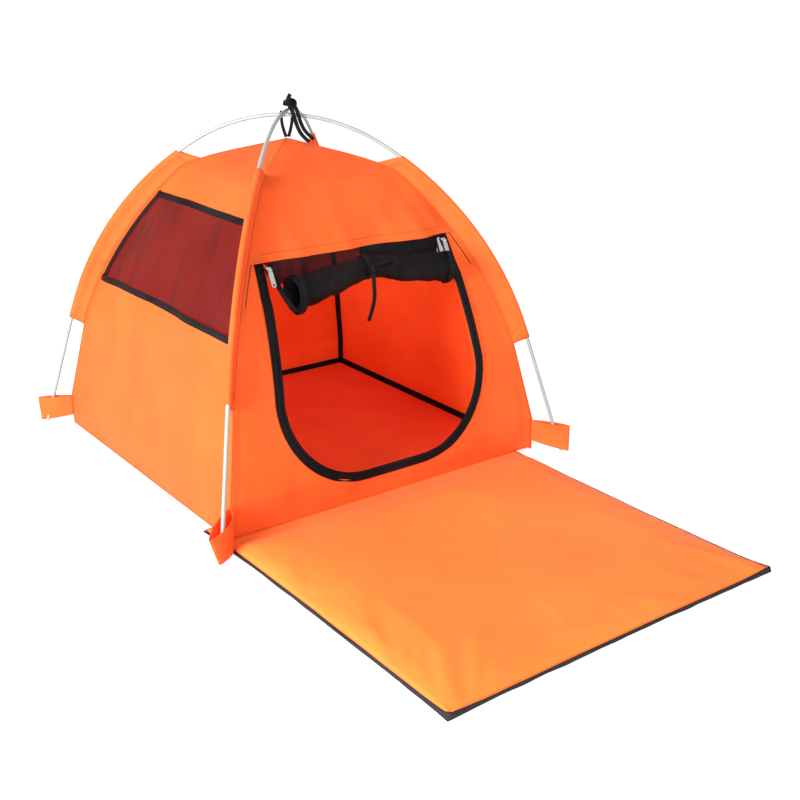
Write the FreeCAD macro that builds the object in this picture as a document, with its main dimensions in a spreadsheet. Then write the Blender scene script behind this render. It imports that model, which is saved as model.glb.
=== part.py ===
"""Pet-size dome tent on two crossing rod arches, with a loose padded mat under its door edge.

Frame: origin at the middle of the floor on the ground, +Z up, -Y is the door side, millimetres.
"""
import FreeCAD, Part

import math
import os

import Sketcher

V = FreeCAD.Vector

# Driving dimensions, in millimetres and degrees.
DRIVING = {
    "base_half": 240,          # half the side of the square floor
    "knee_height": 45,         # the walls stand upright up to here
    "shoulder_height": 154,    # the walls start to curve in here
    "ridge_height": 396,       # the curved walls turn into the flat roof here
    "crown_height": 426,       # roof apex
    "wall_radius": 598,        # curve of the walls, seen from the side
    "wall_centre_out": -361.5,  # centre of that curve, outward from the tent's axis
    "wall_centre_up": 11,      # and its height
    "cloth": 1.2,              # thickness of a wall
    "net": 0.8,                # thickness of the window and door net
    "tape": 0.9,               # thickness of bindings and zip tape
    "door_inset": 1.6,         # the door wall lies this far inside the front flap
    "flap_height": 308,        # lower hem of the front flap
    "flap_overlap": 10,        # the door wall runs on up behind the flap
    "door_half": 155,          # outline of the zip tape round the doorway
    "door_top_half": 140,
    "door_radius": 112,        # rounded lower corners of the doorway
    "door_sill": 36,
    "door_tape_width": 10,
    "window_sill": 224,
    "window_head": 351,
    "window_binding": 9,       # width of the binding round a window
    "window_side": 8,          # cloth left between a window and the corner seam
    "rod_radius": 2.5,         # glass-fibre rods
    "rod_crown_radius": 244,   # bend of a rod over the crown
    "rod_side_radius": 459.5,  # bend of a rod over the shoulder
    "rod_crown_turn": 31.4,    # degrees turned by each of the two bends
    "rod_side_turn": 40.4,
    "rod_joint_turn": 20,      # place of the joint between crown rod and leg rod
    "rod_top": 461.6,          # middle of the upper rod where the rods cross
    "rod_stack": 5.2,          # the lower rod passes this far beneath it
    "ferrule_half": 18,        # half the length of a joint ferrule
    "ferrule_radius": 2.95,
    "tunnel_inner": 3.2,       # tunnel in a sleeve that holds the rod
    "tunnel_outer": 3.9,
    "sleeve_top_turn": 35,     # where a sleeve starts, in degrees from upright
    "sleeve_tail": 8,          # run of a sleeve along the straight leg
    "sleeve_cloth": 1.6,       # two layers
    "seam_radius": 560,        # corner seam, in its own upright plane
    "seam_top_out": 137.4,
    "seam_top_up": 396.8,
    "seam_foot_out": 311.4,
    "seam_foot_up": 154.4,
    "tab_in": 339.6,           # foot tab, along the corner's diagonal
    "tab_out": 391,
    "tab_low_in": 16,          # heights of its lower edge at the wall and outside
    "tab_low_out": 8,
    "tab_high_out": 36,
    "tab_cloth": 1.4,
    "floor_cloth": 1.5,
    "floor_step": 3.4,         # the floor rises this much over the tucked edge of the mat
    "floor_step_at": 190,      # distance of that step in front of the middle
    "seam_tape": 9,            # width of the bindings on the inner seams
    "seam_inset": 4.6,         # they lie this far inside the walls' outer faces
    "mat_width": 466,
    "mat_middle": -19.4,       # the mat lies off the middle line
    "mat_front": 664.7,
    "mat_back": 194.4,
    "mat_tuck": 246,           # in front of this the mat may be thick
    "mat_rise": 34,            # length of the swell behind and in front
    "mat_height": 13,
    "mat_edge": 3,
    "mat_skin": 1.4,
    "roll_out": 181,           # middle of the rolled door in front of the tent's axis
    "roll_up": 270,            # height of the roll's two ends
    "roll_waist_up": 288,      # height of the roll where the ribbon lifts it
    "roll_left": -101,
    "roll_right": 126.5,
    "roll_waist": -4,
    "roll_radius": 20,
    "roll_waist_radius": 13,
    "end_tape_width": 5.8,     # zip tape wound round each end of the roll
    "end_tape_ring": 2.6,
    "hinge_out": 157,          # seam that the rolled door hangs from
    "hinge_up": 306.5,
    "curtain_drop": 20.5,      # net between that seam and the roll
    "curtain_lean": 5,
    "tie_width": 6,            # black ribbon
    "slider_out": 133.2,       # distance of a slider from the middle line, at its top
    "slider_length": 9,
    "slider_width": 7,
    "slider_thick": 4,
    "eye_out": 5.6,            # bar that the pull turns on, in front of the zip
    "eye_down": 4,             # and below the slider's top edge
    "eye_radius": 0.6,
    "eye_gap": 5,              # room between the two lugs that hold the bar
    "pull_length": 22,
    "pull_width": 6.4,
    "pull_thick": 1.2,
    "pull_neck": 2.2,          # half the width where it narrows to its eye
    "pull_hole": 1.6,
}

doc = FreeCAD.newDocument("dome_tent")
sheet = doc.addObject("Spreadsheet::Sheet", "Dims")
for row, (alias, size) in enumerate(DRIVING.items(), start=1):
    sheet.set(f"A{row}", str(size))
    sheet.setAlias(f"A{row}", alias)
doc.recompute()

sub_parts = []


# ---------------------------------------------------------------- helpers

def value(expression):
    """Number that an expression over the sheet gives."""
    return float(sheet.evalExpression(str(expression)))


def keep(item):
    sub_parts.append(item)
    return item


def new_body(label, yaw=0.0, at=V(0, 0, 0)):
    body = doc.addObject("PartDesign::Body", label)
    body.Label = label
    body.Placement = FreeCAD.Placement(at, FreeCAD.Rotation(V(0, 0, 1), yaw))
    return keep(body)


def new_sketch(body, role, lift=None):
    """Sketch on one of the body's own origin planes, lifted off it by an expression."""
    sketch = body.newObject("Sketcher::SketchObject", body.Label + "_sketch")
    plane = [item for item in body.Origin.OriginFeatures if item.Role == role][0]
    sketch.AttachmentSupport = [(plane, "")]
    sketch.MapMode = "FlatFace"
    if lift is not None:
        sketch.setExpression("AttachmentOffset.Base.z", lift)
    return sketch


def pin_point(rules, formulas, geo, end, across, up):
    """Hold a sketch point at two expressions."""
    for kind, axis, expression in (("DistanceX", -2, across), ("DistanceY", -1, up)):
        size = value(expression)
        if abs(size) < 1e-9:
            rules.append(Sketcher.Constraint("PointOnObject", geo, end, axis))
        elif size > 0:
            formulas.append((len(rules), f"{expression}"))
            rules.append(Sketcher.Constraint(kind, -1, 1, geo, end, size))
        else:
            formulas.append((len(rules), f"-({expression})"))
            rules.append(Sketcher.Constraint(kind, geo, end, -1, 1, -size))


def arc_between(start, end, radius):
    """Minor arc of a circle; a positive radius swells to the left of the way from start to end."""
    chord = end - start
    middle = (start + end) * 0.5
    left = V(-chord.y, chord.x, 0).normalize()
    depth = math.sqrt(radius ** 2 - (chord.Length / 2) ** 2)
    centre = middle - left * depth * math.copysign(1, radius)
    angles = [math.atan2(p.y - centre.y, p.x - centre.x) for p in (start, end)]
    forward = radius < 0
    first, last = angles if forward else reversed(angles)
    if last < first:
        last += 2 * math.pi
    circle = Part.Circle(centre, V(0, 0, 1), abs(radius))
    ends = (1, 2) if forward else (2, 1)
    return Part.ArcOfCircle(circle, first, last), ends


def draw(sketch, corners, closed=True):
    """Sides through corners (across, up, bend): bend is the signed radius of the side that follows."""
    points = [V(value(c[0]), value(c[1]), 0) for c in corners]
    count = len(corners) if closed else len(corners) - 1
    rules, formulas, sides = [], [], []
    for i in range(count):
        bend = corners[i][2] if len(corners[i]) > 2 else None
        start, end = points[i], points[(i + 1) % len(points)]
        if bend is None:
            geometry, ends = Part.LineSegment(start, end), (1, 2)
        else:
            geometry, ends = arc_between(start, end, value(bend))
        geo = sketch.addGeometry(geometry, False)
        sides.append((geo, ends))
        pin_point(rules, formulas, geo, ends[0], corners[i][0], corners[i][1])
        if bend is not None:
            formulas.append((len(rules), f"abs({bend})"))
            rules.append(Sketcher.Constraint("Radius", geo, abs(value(bend))))
    for (geo, ends), (after, after_ends) in zip(sides, sides[1:] + sides[:1] if closed else sides[1:]):
        rules.append(Sketcher.Constraint("Coincident", geo, ends[1], after, after_ends[0]))
    if not closed:
        pin_point(rules, formulas, sides[-1][0], sides[-1][1][1], corners[-1][0], corners[-1][1])
    shift = sketch.ConstraintCount
    sketch.addConstraint(rules)
    for index, formula in formulas:
        sketch.setExpression(f"Constraints[{shift + index}]", formula)
    return sketch


def draw_circle(sketch, across, up, radius):
    centre = V(value(across), value(up), 0)
    geo = sketch.addGeometry(Part.Circle(centre, V(0, 0, 1), value(radius)), False)
    rules, formulas = [], []
    pin_point(rules, formulas, geo, 3, across, up)
    formulas.append((len(rules), f"{radius}"))
    rules.append(Sketcher.Constraint("Radius", geo, value(radius)))
    shift = sketch.ConstraintCount
    sketch.addConstraint(rules)
    for index, formula in formulas:
        sketch.setExpression(f"Constraints[{shift + index}]", formula)
    return sketch


def pad(body, sketch, length, side="Symmetric"):
    feature = body.newObject("PartDesign::Pad", body.Label + "_pad")
    feature.Profile = sketch
    feature.SideType = side
    feature.setExpression("Length", length)
    return feature


def pocket(body, sketch, length, side="Symmetric"):
    feature = body.newObject("PartDesign::Pocket", body.Label + "_pocket")
    feature.Profile = sketch
    feature.SideType = side
    feature.setExpression("Length", length)
    return feature


# ---------------------------------------------------------------- tent walls

def wall_out(height, shift):
    """Distance of the curved wall from the tent's axis at a height, for a layer moved in by shift."""
    rise = f"({height} + {shift} - Dims.wall_centre_up)"
    return f"(Dims.wall_centre_out + sqrt(Dims.wall_radius^2 - {rise}^2) - {shift})"


def wall_line(low, high, shift):
    """Corners of one face of a wall from a low to a high height, in the plane across the wall."""
    shoulder, ridge = value("Dims.shoulder_height"), value("Dims.ridge_height")
    line = []
    if value(low) <= 0:
        line.append((f"-(Dims.base_half - {shift})", "0"))
        line.append((f"-(Dims.base_half - {shift})", f"Dims.knee_height - {shift}"))
    if value(low) < shoulder:
        out = wall_out(f"(Dims.shoulder_height - {shift})", shift)
        line.append((f"-{out}", f"Dims.shoulder_height - {shift}", "Dims.wall_radius"))
    elif value(low) < ridge:
        line.append((f"-{wall_out(low, shift)}", f"{low}", "Dims.wall_radius"))
    if value(high) > ridge:
        out = wall_out(f"(Dims.ridge_height - {shift})", shift)
        line.append((f"-{out}", f"Dims.ridge_height - {shift}"))
        slope = f"(Dims.crown_height - Dims.ridge_height) / {wall_out('Dims.ridge_height', '0')}"
        line.append(("0", f"Dims.crown_height - {shift} * (1 + {slope})"))
    else:
        line.append((f"-{wall_out(high, shift)}", f"{high}"))
    return line


def turned_back(line):
    """The same open line of corners walked from its end to its start."""
    corners = []
    for before, corner in zip([None, *line], line):
        bend = before[2] if before and len(before) > 2 else None
        corners.append((*corner[:2], f"-({bend})") if bend else corner[:2])
    return corners[::-1]


def wall_section(low, high, inset, thick):
    """Closed outline of a wall's cross-section: up its outer face and down its inner one."""
    outer = wall_line(low, high, inset)
    inner = wall_line(low, high, f"({inset} + {thick})")
    return outer + turned_back(inner)


def cut_to_gore(body, gap="0"):
    """Trim a wall to the quarter of the plan that lies in front of the two diagonals."""
    reach = "(Dims.base_half + 20)"
    for side in (1, -1):
        plan = new_sketch(body, "XY_Plane")
        corners = [(f"-{side} * {gap} * sqrt(2)", "0"), (f"{side} * 2 * {reach}", "0"),
                   (f"{side} * 2 * {reach}", f"-2 * {reach} - {gap} * sqrt(2)")]
        draw(plan, corners)
        pocket(body, plan, "4 * Dims.base_half")


def wall(label, yaw, low, high, inset="0", thick="Dims.cloth", gap="0"):
    """One wall between two heights, built on the door side and turned to its own side."""
    body = new_body(label, yaw)
    section = new_sketch(body, "YZ_Plane")
    draw(section, wall_section(low, high, inset, thick))
    pad(body, section, "4 * Dims.base_half")
    cut_to_gore(body, gap)
    return body


def door_outline(inner, top):
    """U-shaped outline of the doorway, inset by an expression, open upwards to a height."""
    side = f"(Dims.door_half - {inner})"
    corner = f"(Dims.door_radius - {inner})"
    centre = "(Dims.door_sill + Dims.door_radius)"
    flat = "(Dims.door_half - Dims.door_radius)"
    sill = f"(Dims.door_sill + {inner})"
    lean = f"((Dims.door_half - Dims.door_top_half) * ({top} - {centre}) / (Dims.flap_height - {centre}))"
    return [(f"-({side} - {lean})", top), (f"-{side}", centre, f"-{corner}"), (f"-{flat}", sill),
            (flat, sill, f"-{corner}"), (side, centre), (f"{side} - {lean}", top)]


def window_outline(body):
    """Opening inside a window's binding: it narrows upwards with the wall."""
    sketch = new_sketch(body, "XZ_Plane")
    low = "(Dims.window_sill + Dims.window_binding)"
    high = "(Dims.window_head - Dims.window_binding)"
    edge = "(Dims.window_side + Dims.window_binding)"
    bottom, top = f"({wall_out(low, '0')} - {edge})", f"({wall_out(high, '0')} - {edge})"
    return draw(sketch, [(f"-{bottom}", low), (bottom, low), (top, high), (f"-{top}", high)])


SIDES = {"left": -90, "right": 90}

for side, yaw in SIDES.items():
    lower = wall(f"{side}_wall_lower", yaw, "0", "Dims.window_sill")
    wall(f"{side}_wall_upper", yaw, "Dims.window_head", "Dims.crown_height")
    wall(f"{side}_window_net", yaw, "(Dims.window_sill + 0.2)", "(Dims.window_head - 0.2)",
         "0.2", "Dims.net", "0.6")
    binding = wall(f"{side}_window_binding", yaw, "(Dims.window_sill - 1)", "(Dims.window_head + 1)",
                   "(0 - Dims.tape)", "Dims.tape", "Dims.window_side")
    pocket(binding, window_outline(binding), "4 * Dims.base_half")
    if side == "left":
        # The mat's tucked edge passes under the front end of this wall.
        notch = new_sketch(lower, "XZ_Plane")
        start, end = "Dims.mat_back - 2", "Dims.base_half + 2"
        draw(notch, [(start, "0"), (end, "0"), (end, "Dims.floor_step"), (start, "Dims.floor_step")])
        pocket(lower, notch, "4 * Dims.base_half")

wall("back_wall", 180, "0", "Dims.crown_height")
wall("front_flap", 0, "Dims.flap_height", "Dims.crown_height")

door_wall = wall("door_wall", 0, "0", "(Dims.flap_height + Dims.flap_overlap)", "Dims.door_inset")
opening = new_sketch(door_wall, "XZ_Plane")
draw(opening, door_outline("(Dims.door_tape_width / 2)", "(Dims.flap_height + 20)"))
pocket(door_wall, opening, "4 * Dims.base_half")
hem = new_sketch(door_wall, "XZ_Plane")
hem_half = "(Dims.base_half + 5)"
draw(hem, [(f"-{hem_half}", "0"), (hem_half, "0"), (hem_half, "Dims.floor_step"),
           (f"-{hem_half}", "Dims.floor_step")])
pocket(door_wall, hem, "4 * Dims.base_half")

# Fixed half of the zip: a band on the door wall that follows the doorway.
zip_tape = new_body("door_zip_tape")
section = new_sketch(zip_tape, "YZ_Plane")
draw(section, wall_section("0", "(Dims.flap_height - 1)", "(Dims.door_inset - Dims.tape - 0.05)",
                           "Dims.tape"))
pad(zip_tape, section, "2 * Dims.base_half")
band = new_sketch(zip_tape, "XZ_Plane")
draw(band, door_outline("Dims.door_tape_width", "(Dims.flap_height + 20)"))
pocket(zip_tape, band, "4 * Dims.base_half")
around = new_sketch(zip_tape, "XZ_Plane")
edge = "(Dims.base_half + 10)"
head = "(Dims.flap_height + 20)"
draw(around, [*door_outline("0", head), (edge, head), (edge, "-10"), (f"-{edge}", "-10"),
              (f"-{edge}", head)])
pocket(zip_tape, around, "4 * Dims.base_half")

# Floor: it lies on the ground and steps up over the mat's tucked edge.
floor = new_body("floor_sheet")
section = new_sketch(floor, "YZ_Plane")
front = "-(Dims.base_half - Dims.door_inset - Dims.cloth - 0.2)"
back = "(Dims.base_half - Dims.cloth - 0.2)"
step, climb = "-Dims.floor_step_at", "-(Dims.floor_step_at + 3)"
draw(section, [(front, "Dims.floor_step"), (climb, "Dims.floor_step"), (step, "0"), (back, "0"),
               (back, "Dims.floor_cloth"), (step, "Dims.floor_cloth"),
               (climb, "Dims.floor_step + Dims.floor_cloth"),
               (front, "Dims.floor_step + Dims.floor_cloth")])
pad(floor, section, "2 * (Dims.base_half - Dims.cloth - 0.2)")

# Binding on the seam between floor and walls, inside the tent.
floor_tape = new_body("floor_seam_tape")
plan = new_sketch(floor_tape, "XY_Plane", "Dims.floor_step + Dims.floor_cloth + 0.1")
far = "(Dims.base_half - 4.2)"
near = f"({far} - Dims.tape)"
for reach in (far, near):
    draw(plan, [(f"-{reach}", f"-{reach}"), (reach, f"-{reach}"), (reach, reach), (f"-{reach}", reach)])
pad(floor_tape, plan, "Dims.seam_tape", "One side")

# ---------------------------------------------------------------- corners

CORNERS = {"front_left": 225, "front_right": 315, "back_right": 45, "back_left": 135}


def rod_point(turn, top, offset="0"):
    """Point of a rod's bent centre line, in its own upright plane, at a turn from upright."""
    bend = "Dims.rod_crown_turn"
    centre_out = f"(Dims.rod_crown_radius - Dims.rod_side_radius) * sin({bend} * 1deg)"
    centre_up = (f"{top} - Dims.rod_crown_radius + "
                 f"(Dims.rod_crown_radius - Dims.rod_side_radius) * cos({bend} * 1deg)")
    radius = f"(Dims.rod_side_radius + {offset})"
    return (f"({centre_out} + {radius} * sin(({turn}) * 1deg))",
            f"({centre_up} + {radius} * cos(({turn}) * 1deg))")


def leg_point(down, top, offset="0"):
    """Point of the straight leg, a given way down from the end of the bends."""
    turn = "(Dims.rod_crown_turn + Dims.rod_side_turn)"
    out, up = rod_point(turn, top, offset)
    return (f"({out} + ({down}) * cos({turn} * 1deg))", f"({up} - ({down}) * sin({turn} * 1deg))")


def pipe_along(body, path_corners, profile_at, turn, radius, remove=False):
    """Round pipe whose centre line is a sketch in the corner's upright plane."""
    spine = new_sketch(body, "XZ_Plane")
    draw(spine, path_corners, closed=False)
    ring = new_sketch(body, "XZ_Plane")
    ring.MapMode = "Deactivated"
    out, up = value(profile_at[0]), value(profile_at[1])
    facing = FreeCAD.Rotation(V(0, 1, 0), value(turn) + 90)
    ring.Placement = FreeCAD.Placement(V(out, 0, up), facing)
    ring.setExpression("Placement.Base.x", profile_at[0])
    ring.setExpression("Placement.Base.z", profile_at[1])
    draw_circle(ring, "0", "0", radius)
    kind = "PartDesign::SubtractivePipe" if remove else "PartDesign::AdditivePipe"
    feature = body.newObject(kind, body.Label + "_pipe")
    feature.Profile = ring
    feature.Spine = (spine, [])
    return feature


def leg_length(top):
    """Length of the straight leg down to the ground."""
    return f"({rod_point(LEG, top)[1]} / sin({LEG} * 1deg))"


TOPS = {"front_left": "Dims.rod_top", "back_right": "Dims.rod_top",
        "front_right": "(Dims.rod_top - Dims.rod_stack)",
        "back_left": "(Dims.rod_top - Dims.rod_stack)"}
JOINT = "(Dims.rod_crown_turn + Dims.rod_joint_turn)"
LEG = "(Dims.rod_crown_turn + Dims.rod_side_turn)"
SIDE = "Dims.rod_side_radius"

for name, yaw in CORNERS.items():
    top = TOPS[name]

    leg = new_body(f"{name}_rod_leg", yaw)
    foot = leg_point(f"({leg_length(top)} - Dims.rod_radius / tan({LEG} * 1deg))", top)
    pipe_along(leg, [(*rod_point(JOINT, top), SIDE), leg_point("0", top), foot],
               rod_point(JOINT, top), JOINT, "Dims.rod_radius")

    half_turn = "(Dims.ferrule_half / Dims.rod_side_radius * 180 / pi)"
    upper, lower = f"({JOINT} - {half_turn})", f"({JOINT} + {half_turn})"
    ferrule = new_body(f"{name}_ferrule", yaw)
    path = [(*rod_point(upper, top), SIDE), rod_point(lower, top)]
    pipe_along(ferrule, path, path[0], upper, "Dims.ferrule_radius")
    longer = [(*rod_point(f"({upper} - 0.2)", top), SIDE), rod_point(f"({lower} + 0.2)", top)]
    pipe_along(ferrule, longer, longer[0], f"({upper} - 0.2)", "(Dims.rod_radius + 0.05)", remove=True)

    sleeve = new_body(f"{name}_sleeve", yaw)
    fin = new_sketch(sleeve, "XZ_Plane")
    inside = "(0 - (Dims.tunnel_inner + Dims.tunnel_outer) / 2)"
    start = "Dims.sleeve_top_turn"
    draw(fin, [("Dims.seam_top_out", "Dims.seam_top_up"),
               (*rod_point(start, top, inside), f"{SIDE} + {inside}"),
               leg_point("0", top, inside), leg_point("Dims.sleeve_tail", top, inside),
               ("Dims.seam_foot_out", "Dims.seam_foot_up", "-Dims.seam_radius")])
    pad(sleeve, fin, "Dims.sleeve_cloth")
    path = [(*rod_point(start, top), SIDE), leg_point("0", top), leg_point("Dims.sleeve_tail", top)]
    pipe_along(sleeve, path, path[0], start, "Dims.tunnel_outer")
    earlier = f"({start} - 0.2)"
    path = [(*rod_point(earlier, top), SIDE), leg_point("0", top),
            leg_point("(Dims.sleeve_tail + 1)", top)]
    pipe_along(sleeve, path, path[0], earlier, "Dims.tunnel_inner", remove=True)

    tab = new_body(f"{name}_foot_tab", yaw)
    flat = new_sketch(tab, "XZ_Plane")
    draw(flat, [("Dims.tab_in", "Dims.tab_low_in"), ("Dims.tab_out - 6", "Dims.tab_low_out"),
                ("Dims.tab_out", "Dims.tab_high_out"), ("Dims.tab_in", "Dims.knee_height - 2")])
    pad(tab, flat, "2 * (Dims.tunnel_inner + Dims.tab_cloth)")
    hollow = new_sketch(tab, "XZ_Plane")
    draw(hollow, [("Dims.tab_in + 4", "0"), ("Dims.tab_out - Dims.tab_cloth - 7", "0"),
                  ("Dims.tab_out - Dims.tab_cloth", "60"), ("Dims.tab_in + 4", "60")])
    pocket(tab, hollow, "2 * Dims.tunnel_inner")

    seam = new_body(f"{name}_seam_tape", yaw)
    strip = new_sketch(seam, "XZ_Plane")
    inner_seam = [("(Dims.base_half - Dims.seam_inset) * sqrt(2)", "16"),
                  ("(Dims.base_half - Dims.seam_inset) * sqrt(2)", "Dims.knee_height - 4"),
                  (f"({wall_out('(Dims.shoulder_height - 4)', '4')} - 0.6) * sqrt(2)",
                   "Dims.shoulder_height - 4", "-Dims.seam_radius"),
                  (f"({wall_out('(Dims.ridge_height - 10)', '4')} - 0.6) * sqrt(2)",
                   "Dims.ridge_height - 10")]
    edge_inside = [(f"{across} - Dims.seam_tape", *rest) for across, *rest in inner_seam]
    draw(strip, inner_seam + turned_back(edge_inside))
    pad(seam, strip, "Dims.tape")

for label, name in {"upper_rod_crown": "front_left", "lower_rod_crown": "front_right"}.items():
    top = TOPS[name]
    rod = new_body(label, CORNERS[name])
    out, up = rod_point(JOINT, top)
    bend_out = "(Dims.rod_crown_radius * sin(Dims.rod_crown_turn * 1deg))"
    bend_up = f"({top} - Dims.rod_crown_radius * (1 - cos(Dims.rod_crown_turn * 1deg)))"
    path = [(f"-{out}", up, SIDE), (f"-{bend_out}", bend_up, "Dims.rod_crown_radius"),
            (bend_out, bend_up, SIDE), (out, up)]
    pipe_along(rod, path, (f"-{out}", up), f"-{JOINT}", "Dims.rod_radius")

# ---------------------------------------------------------------- crown tie

def ribbon_knot(label, centre, radii):
    """Knot or flat loop of ribbon, as an ellipsoid with its three half sizes."""
    knot = doc.addObject("Part::Ellipsoid", label)
    knot.Label = label
    for axis, radius in zip(("Radius1", "Radius2", "Radius3"), (radii[2], radii[0], radii[1])):
        knot.setExpression(axis, radius)
    knot.Placement = FreeCAD.Placement(centre, FreeCAD.Rotation())
    return keep(knot)


def ribbon_tube(label, route, diameter):
    """Tube along straight runs joined by tangent arcs, each arc as large as its two runs allow."""
    points = [V(*point) for point in route]
    edges = []
    radii = []
    last = points[0]
    for before, here, after in zip(points, points[1:], points[2:]):
        way_in, way_out = (here - before), (after - here)
        half_turn = way_in.getAngle(way_out) / 2
        trim = 0.45 * min(way_in.Length, way_out.Length)
        radii.append(trim / math.tan(half_turn))
        way_in.normalize()
        way_out.normalize()
        start, end = here - way_in * trim, here + way_out * trim
        middle_way = (way_out - way_in).normalize()
        depth = radii[-1] * (1 / math.cos(half_turn) - 1)
        edges.append(Part.LineSegment(last, start).toShape())
        edges.append(Part.Arc(start, here + middle_way * depth, end).toShape())
        last = end
    edges.append(Part.LineSegment(last, points[-1]).toShape())
    path = Part.Wire(edges)
    ring = Part.Wire(Part.makeCircle(diameter / 2, points[0], points[1] - points[0]))
    tube = path.makePipeShell([ring], True, True)
    expected = math.pi * diameter ** 2 / 4 * path.Length
    print(f"{label}: length {path.Length:.1f}, radii {[round(r) for r in radii]}, "
          f"volume {tube.Volume / expected:.3f} of section times length")
    feature = doc.addObject("Part::Feature", label)
    feature.Label = label
    feature.Shape = tube
    return keep(feature)


rod_top = value("Dims.rod_top")
ribbon_knot("crown_tie_knot", V(3, -4, rod_top + 9), ("7.5", "7", "6"))

STRAND_WIDTH = 2.6
roof_apex = value("Dims.crown_height")
for label, side in {"crown_tie_left_strand": -1, "crown_tie_right_strand": 1}.items():
    route = [(side * 1.9, 0, roof_apex + 1.4), (side * 6, 0, roof_apex + 12),
             (side * 8.5, 0, roof_apex + 24), (side * 8.5, -1, roof_apex + 36)]
    ribbon_tube(label, route, STRAND_WIDTH)

TAIL_WIDTH = 4.5
ribbon_tube("crown_tie_tail_near", [(4, -10, rod_top + 8), (5.2, -15, rod_top + 2),
                                    (6, -19.5, rod_top - 8), (6.5, -23, rod_top - 20),
                                    (8.5, -27, rod_top - 31), (12.5, -34, rod_top - 38)], TAIL_WIDTH)
ribbon_tube("crown_tie_tail_far", [(8.3, -9.5, rod_top + 9), (10.5, -16.5, rod_top + 5),
                                   (11.5, -21.5, rod_top - 5), (11.5, -25, rod_top - 16),
                                   (14, -29, rod_top - 27), (18.5, -36, rod_top - 35)], TAIL_WIDTH)

# ---------------------------------------------------------------- rolled door

roll = new_body("door_roll")
ROLL_STATIONS = [("Dims.roll_left", "Dims.roll_up", "Dims.roll_radius"),
                 ("(Dims.roll_left + Dims.roll_waist) / 2", "(Dims.roll_up + Dims.roll_waist_up) / 2",
                  "(Dims.roll_radius - 1.5)"),
                 ("Dims.roll_waist", "Dims.roll_waist_up", "Dims.roll_waist_radius"),
                 ("(Dims.roll_right + Dims.roll_waist) / 2", "(Dims.roll_up + Dims.roll_waist_up) / 2",
                  "(Dims.roll_radius - 2)"),
                 ("Dims.roll_right", "Dims.roll_up", "(Dims.roll_radius - 1)")]
rings = []
for across, up, radius in ROLL_STATIONS:
    ring = new_sketch(roll, "YZ_Plane", across)
    draw_circle(ring, "-Dims.roll_out", up, radius)
    rings.append(ring)
doc.recompute()
loft = roll.newObject("PartDesign::AdditiveLoft", "door_roll_loft")
loft.Profile = rings[0]
loft.Sections = rings[1:]
loft.Ruled = True

for label, across, radius in (("left_roll_tape", "Dims.roll_left - 6", "Dims.roll_radius + 3"),
                              ("right_roll_tape", "Dims.roll_right - 4", "Dims.roll_radius + 2")):
    end_tape = new_body(label)
    ring = new_sketch(end_tape, "YZ_Plane", across)
    draw_circle(ring, "-Dims.roll_out", "Dims.roll_up", radius)
    draw_circle(ring, "-Dims.roll_out", "Dims.roll_up", f"({radius} - Dims.end_tape_ring)")
    pad(end_tape, ring, "Dims.end_tape_width", "One side")

curtain = new_body("door_net_curtain")
section = new_sketch(curtain, "YZ_Plane")
draw(section, [("-Dims.hinge_out", "Dims.hinge_up"), ("-(Dims.hinge_out + Dims.net)", "Dims.hinge_up"),
               ("-(Dims.hinge_out + Dims.curtain_lean + Dims.net)", "Dims.hinge_up - Dims.curtain_drop"),
               ("-(Dims.hinge_out + Dims.curtain_lean)", "Dims.hinge_up - Dims.curtain_drop")])
pad(curtain, section, "2 * (Dims.door_top_half - Dims.door_tape_width - 3)")

band = new_body("door_tie_band")
ring = new_sketch(band, "YZ_Plane", "Dims.roll_waist - Dims.tie_width / 2")
draw_circle(ring, "-Dims.roll_out", "Dims.roll_waist_up", "(Dims.roll_waist_radius + 3.2)")
draw_circle(ring, "-Dims.roll_out", "Dims.roll_waist_up", "(Dims.roll_waist_radius + 1.6)")
pad(band, ring, "Dims.tie_width", "One side")

bow_front = -(value("Dims.roll_out") + value("Dims.roll_waist_radius") + 3.3)
knot_up = value("Dims.roll_waist_up") + 3
ribbon_knot("door_tie_knot", V(value("Dims.roll_waist"), bow_front - 4.4, knot_up), ("5", "4.3", "5"))
ribbon_knot("door_tie_bow", V(value("Dims.roll_waist") + 22, bow_front - 4.4, knot_up + 1),
               ("16.6", "3", "6"))
ribbon_tube("door_tie_tail", [(value("Dims.roll_waist") - 1, bow_front - 5, knot_up - 4.9),
                              (value("Dims.roll_waist") - 1, bow_front - 6, knot_up - 20),
                              (value("Dims.roll_waist") + 1, bow_front - 5, knot_up - 36),
                              (value("Dims.roll_waist") - 2, bow_front - 4, knot_up - 52),
                              (value("Dims.roll_waist") - 8, bow_front - 4, knot_up - 67)], TAIL_WIDTH)

# ---------------------------------------------------------------- zip sliders

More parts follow.
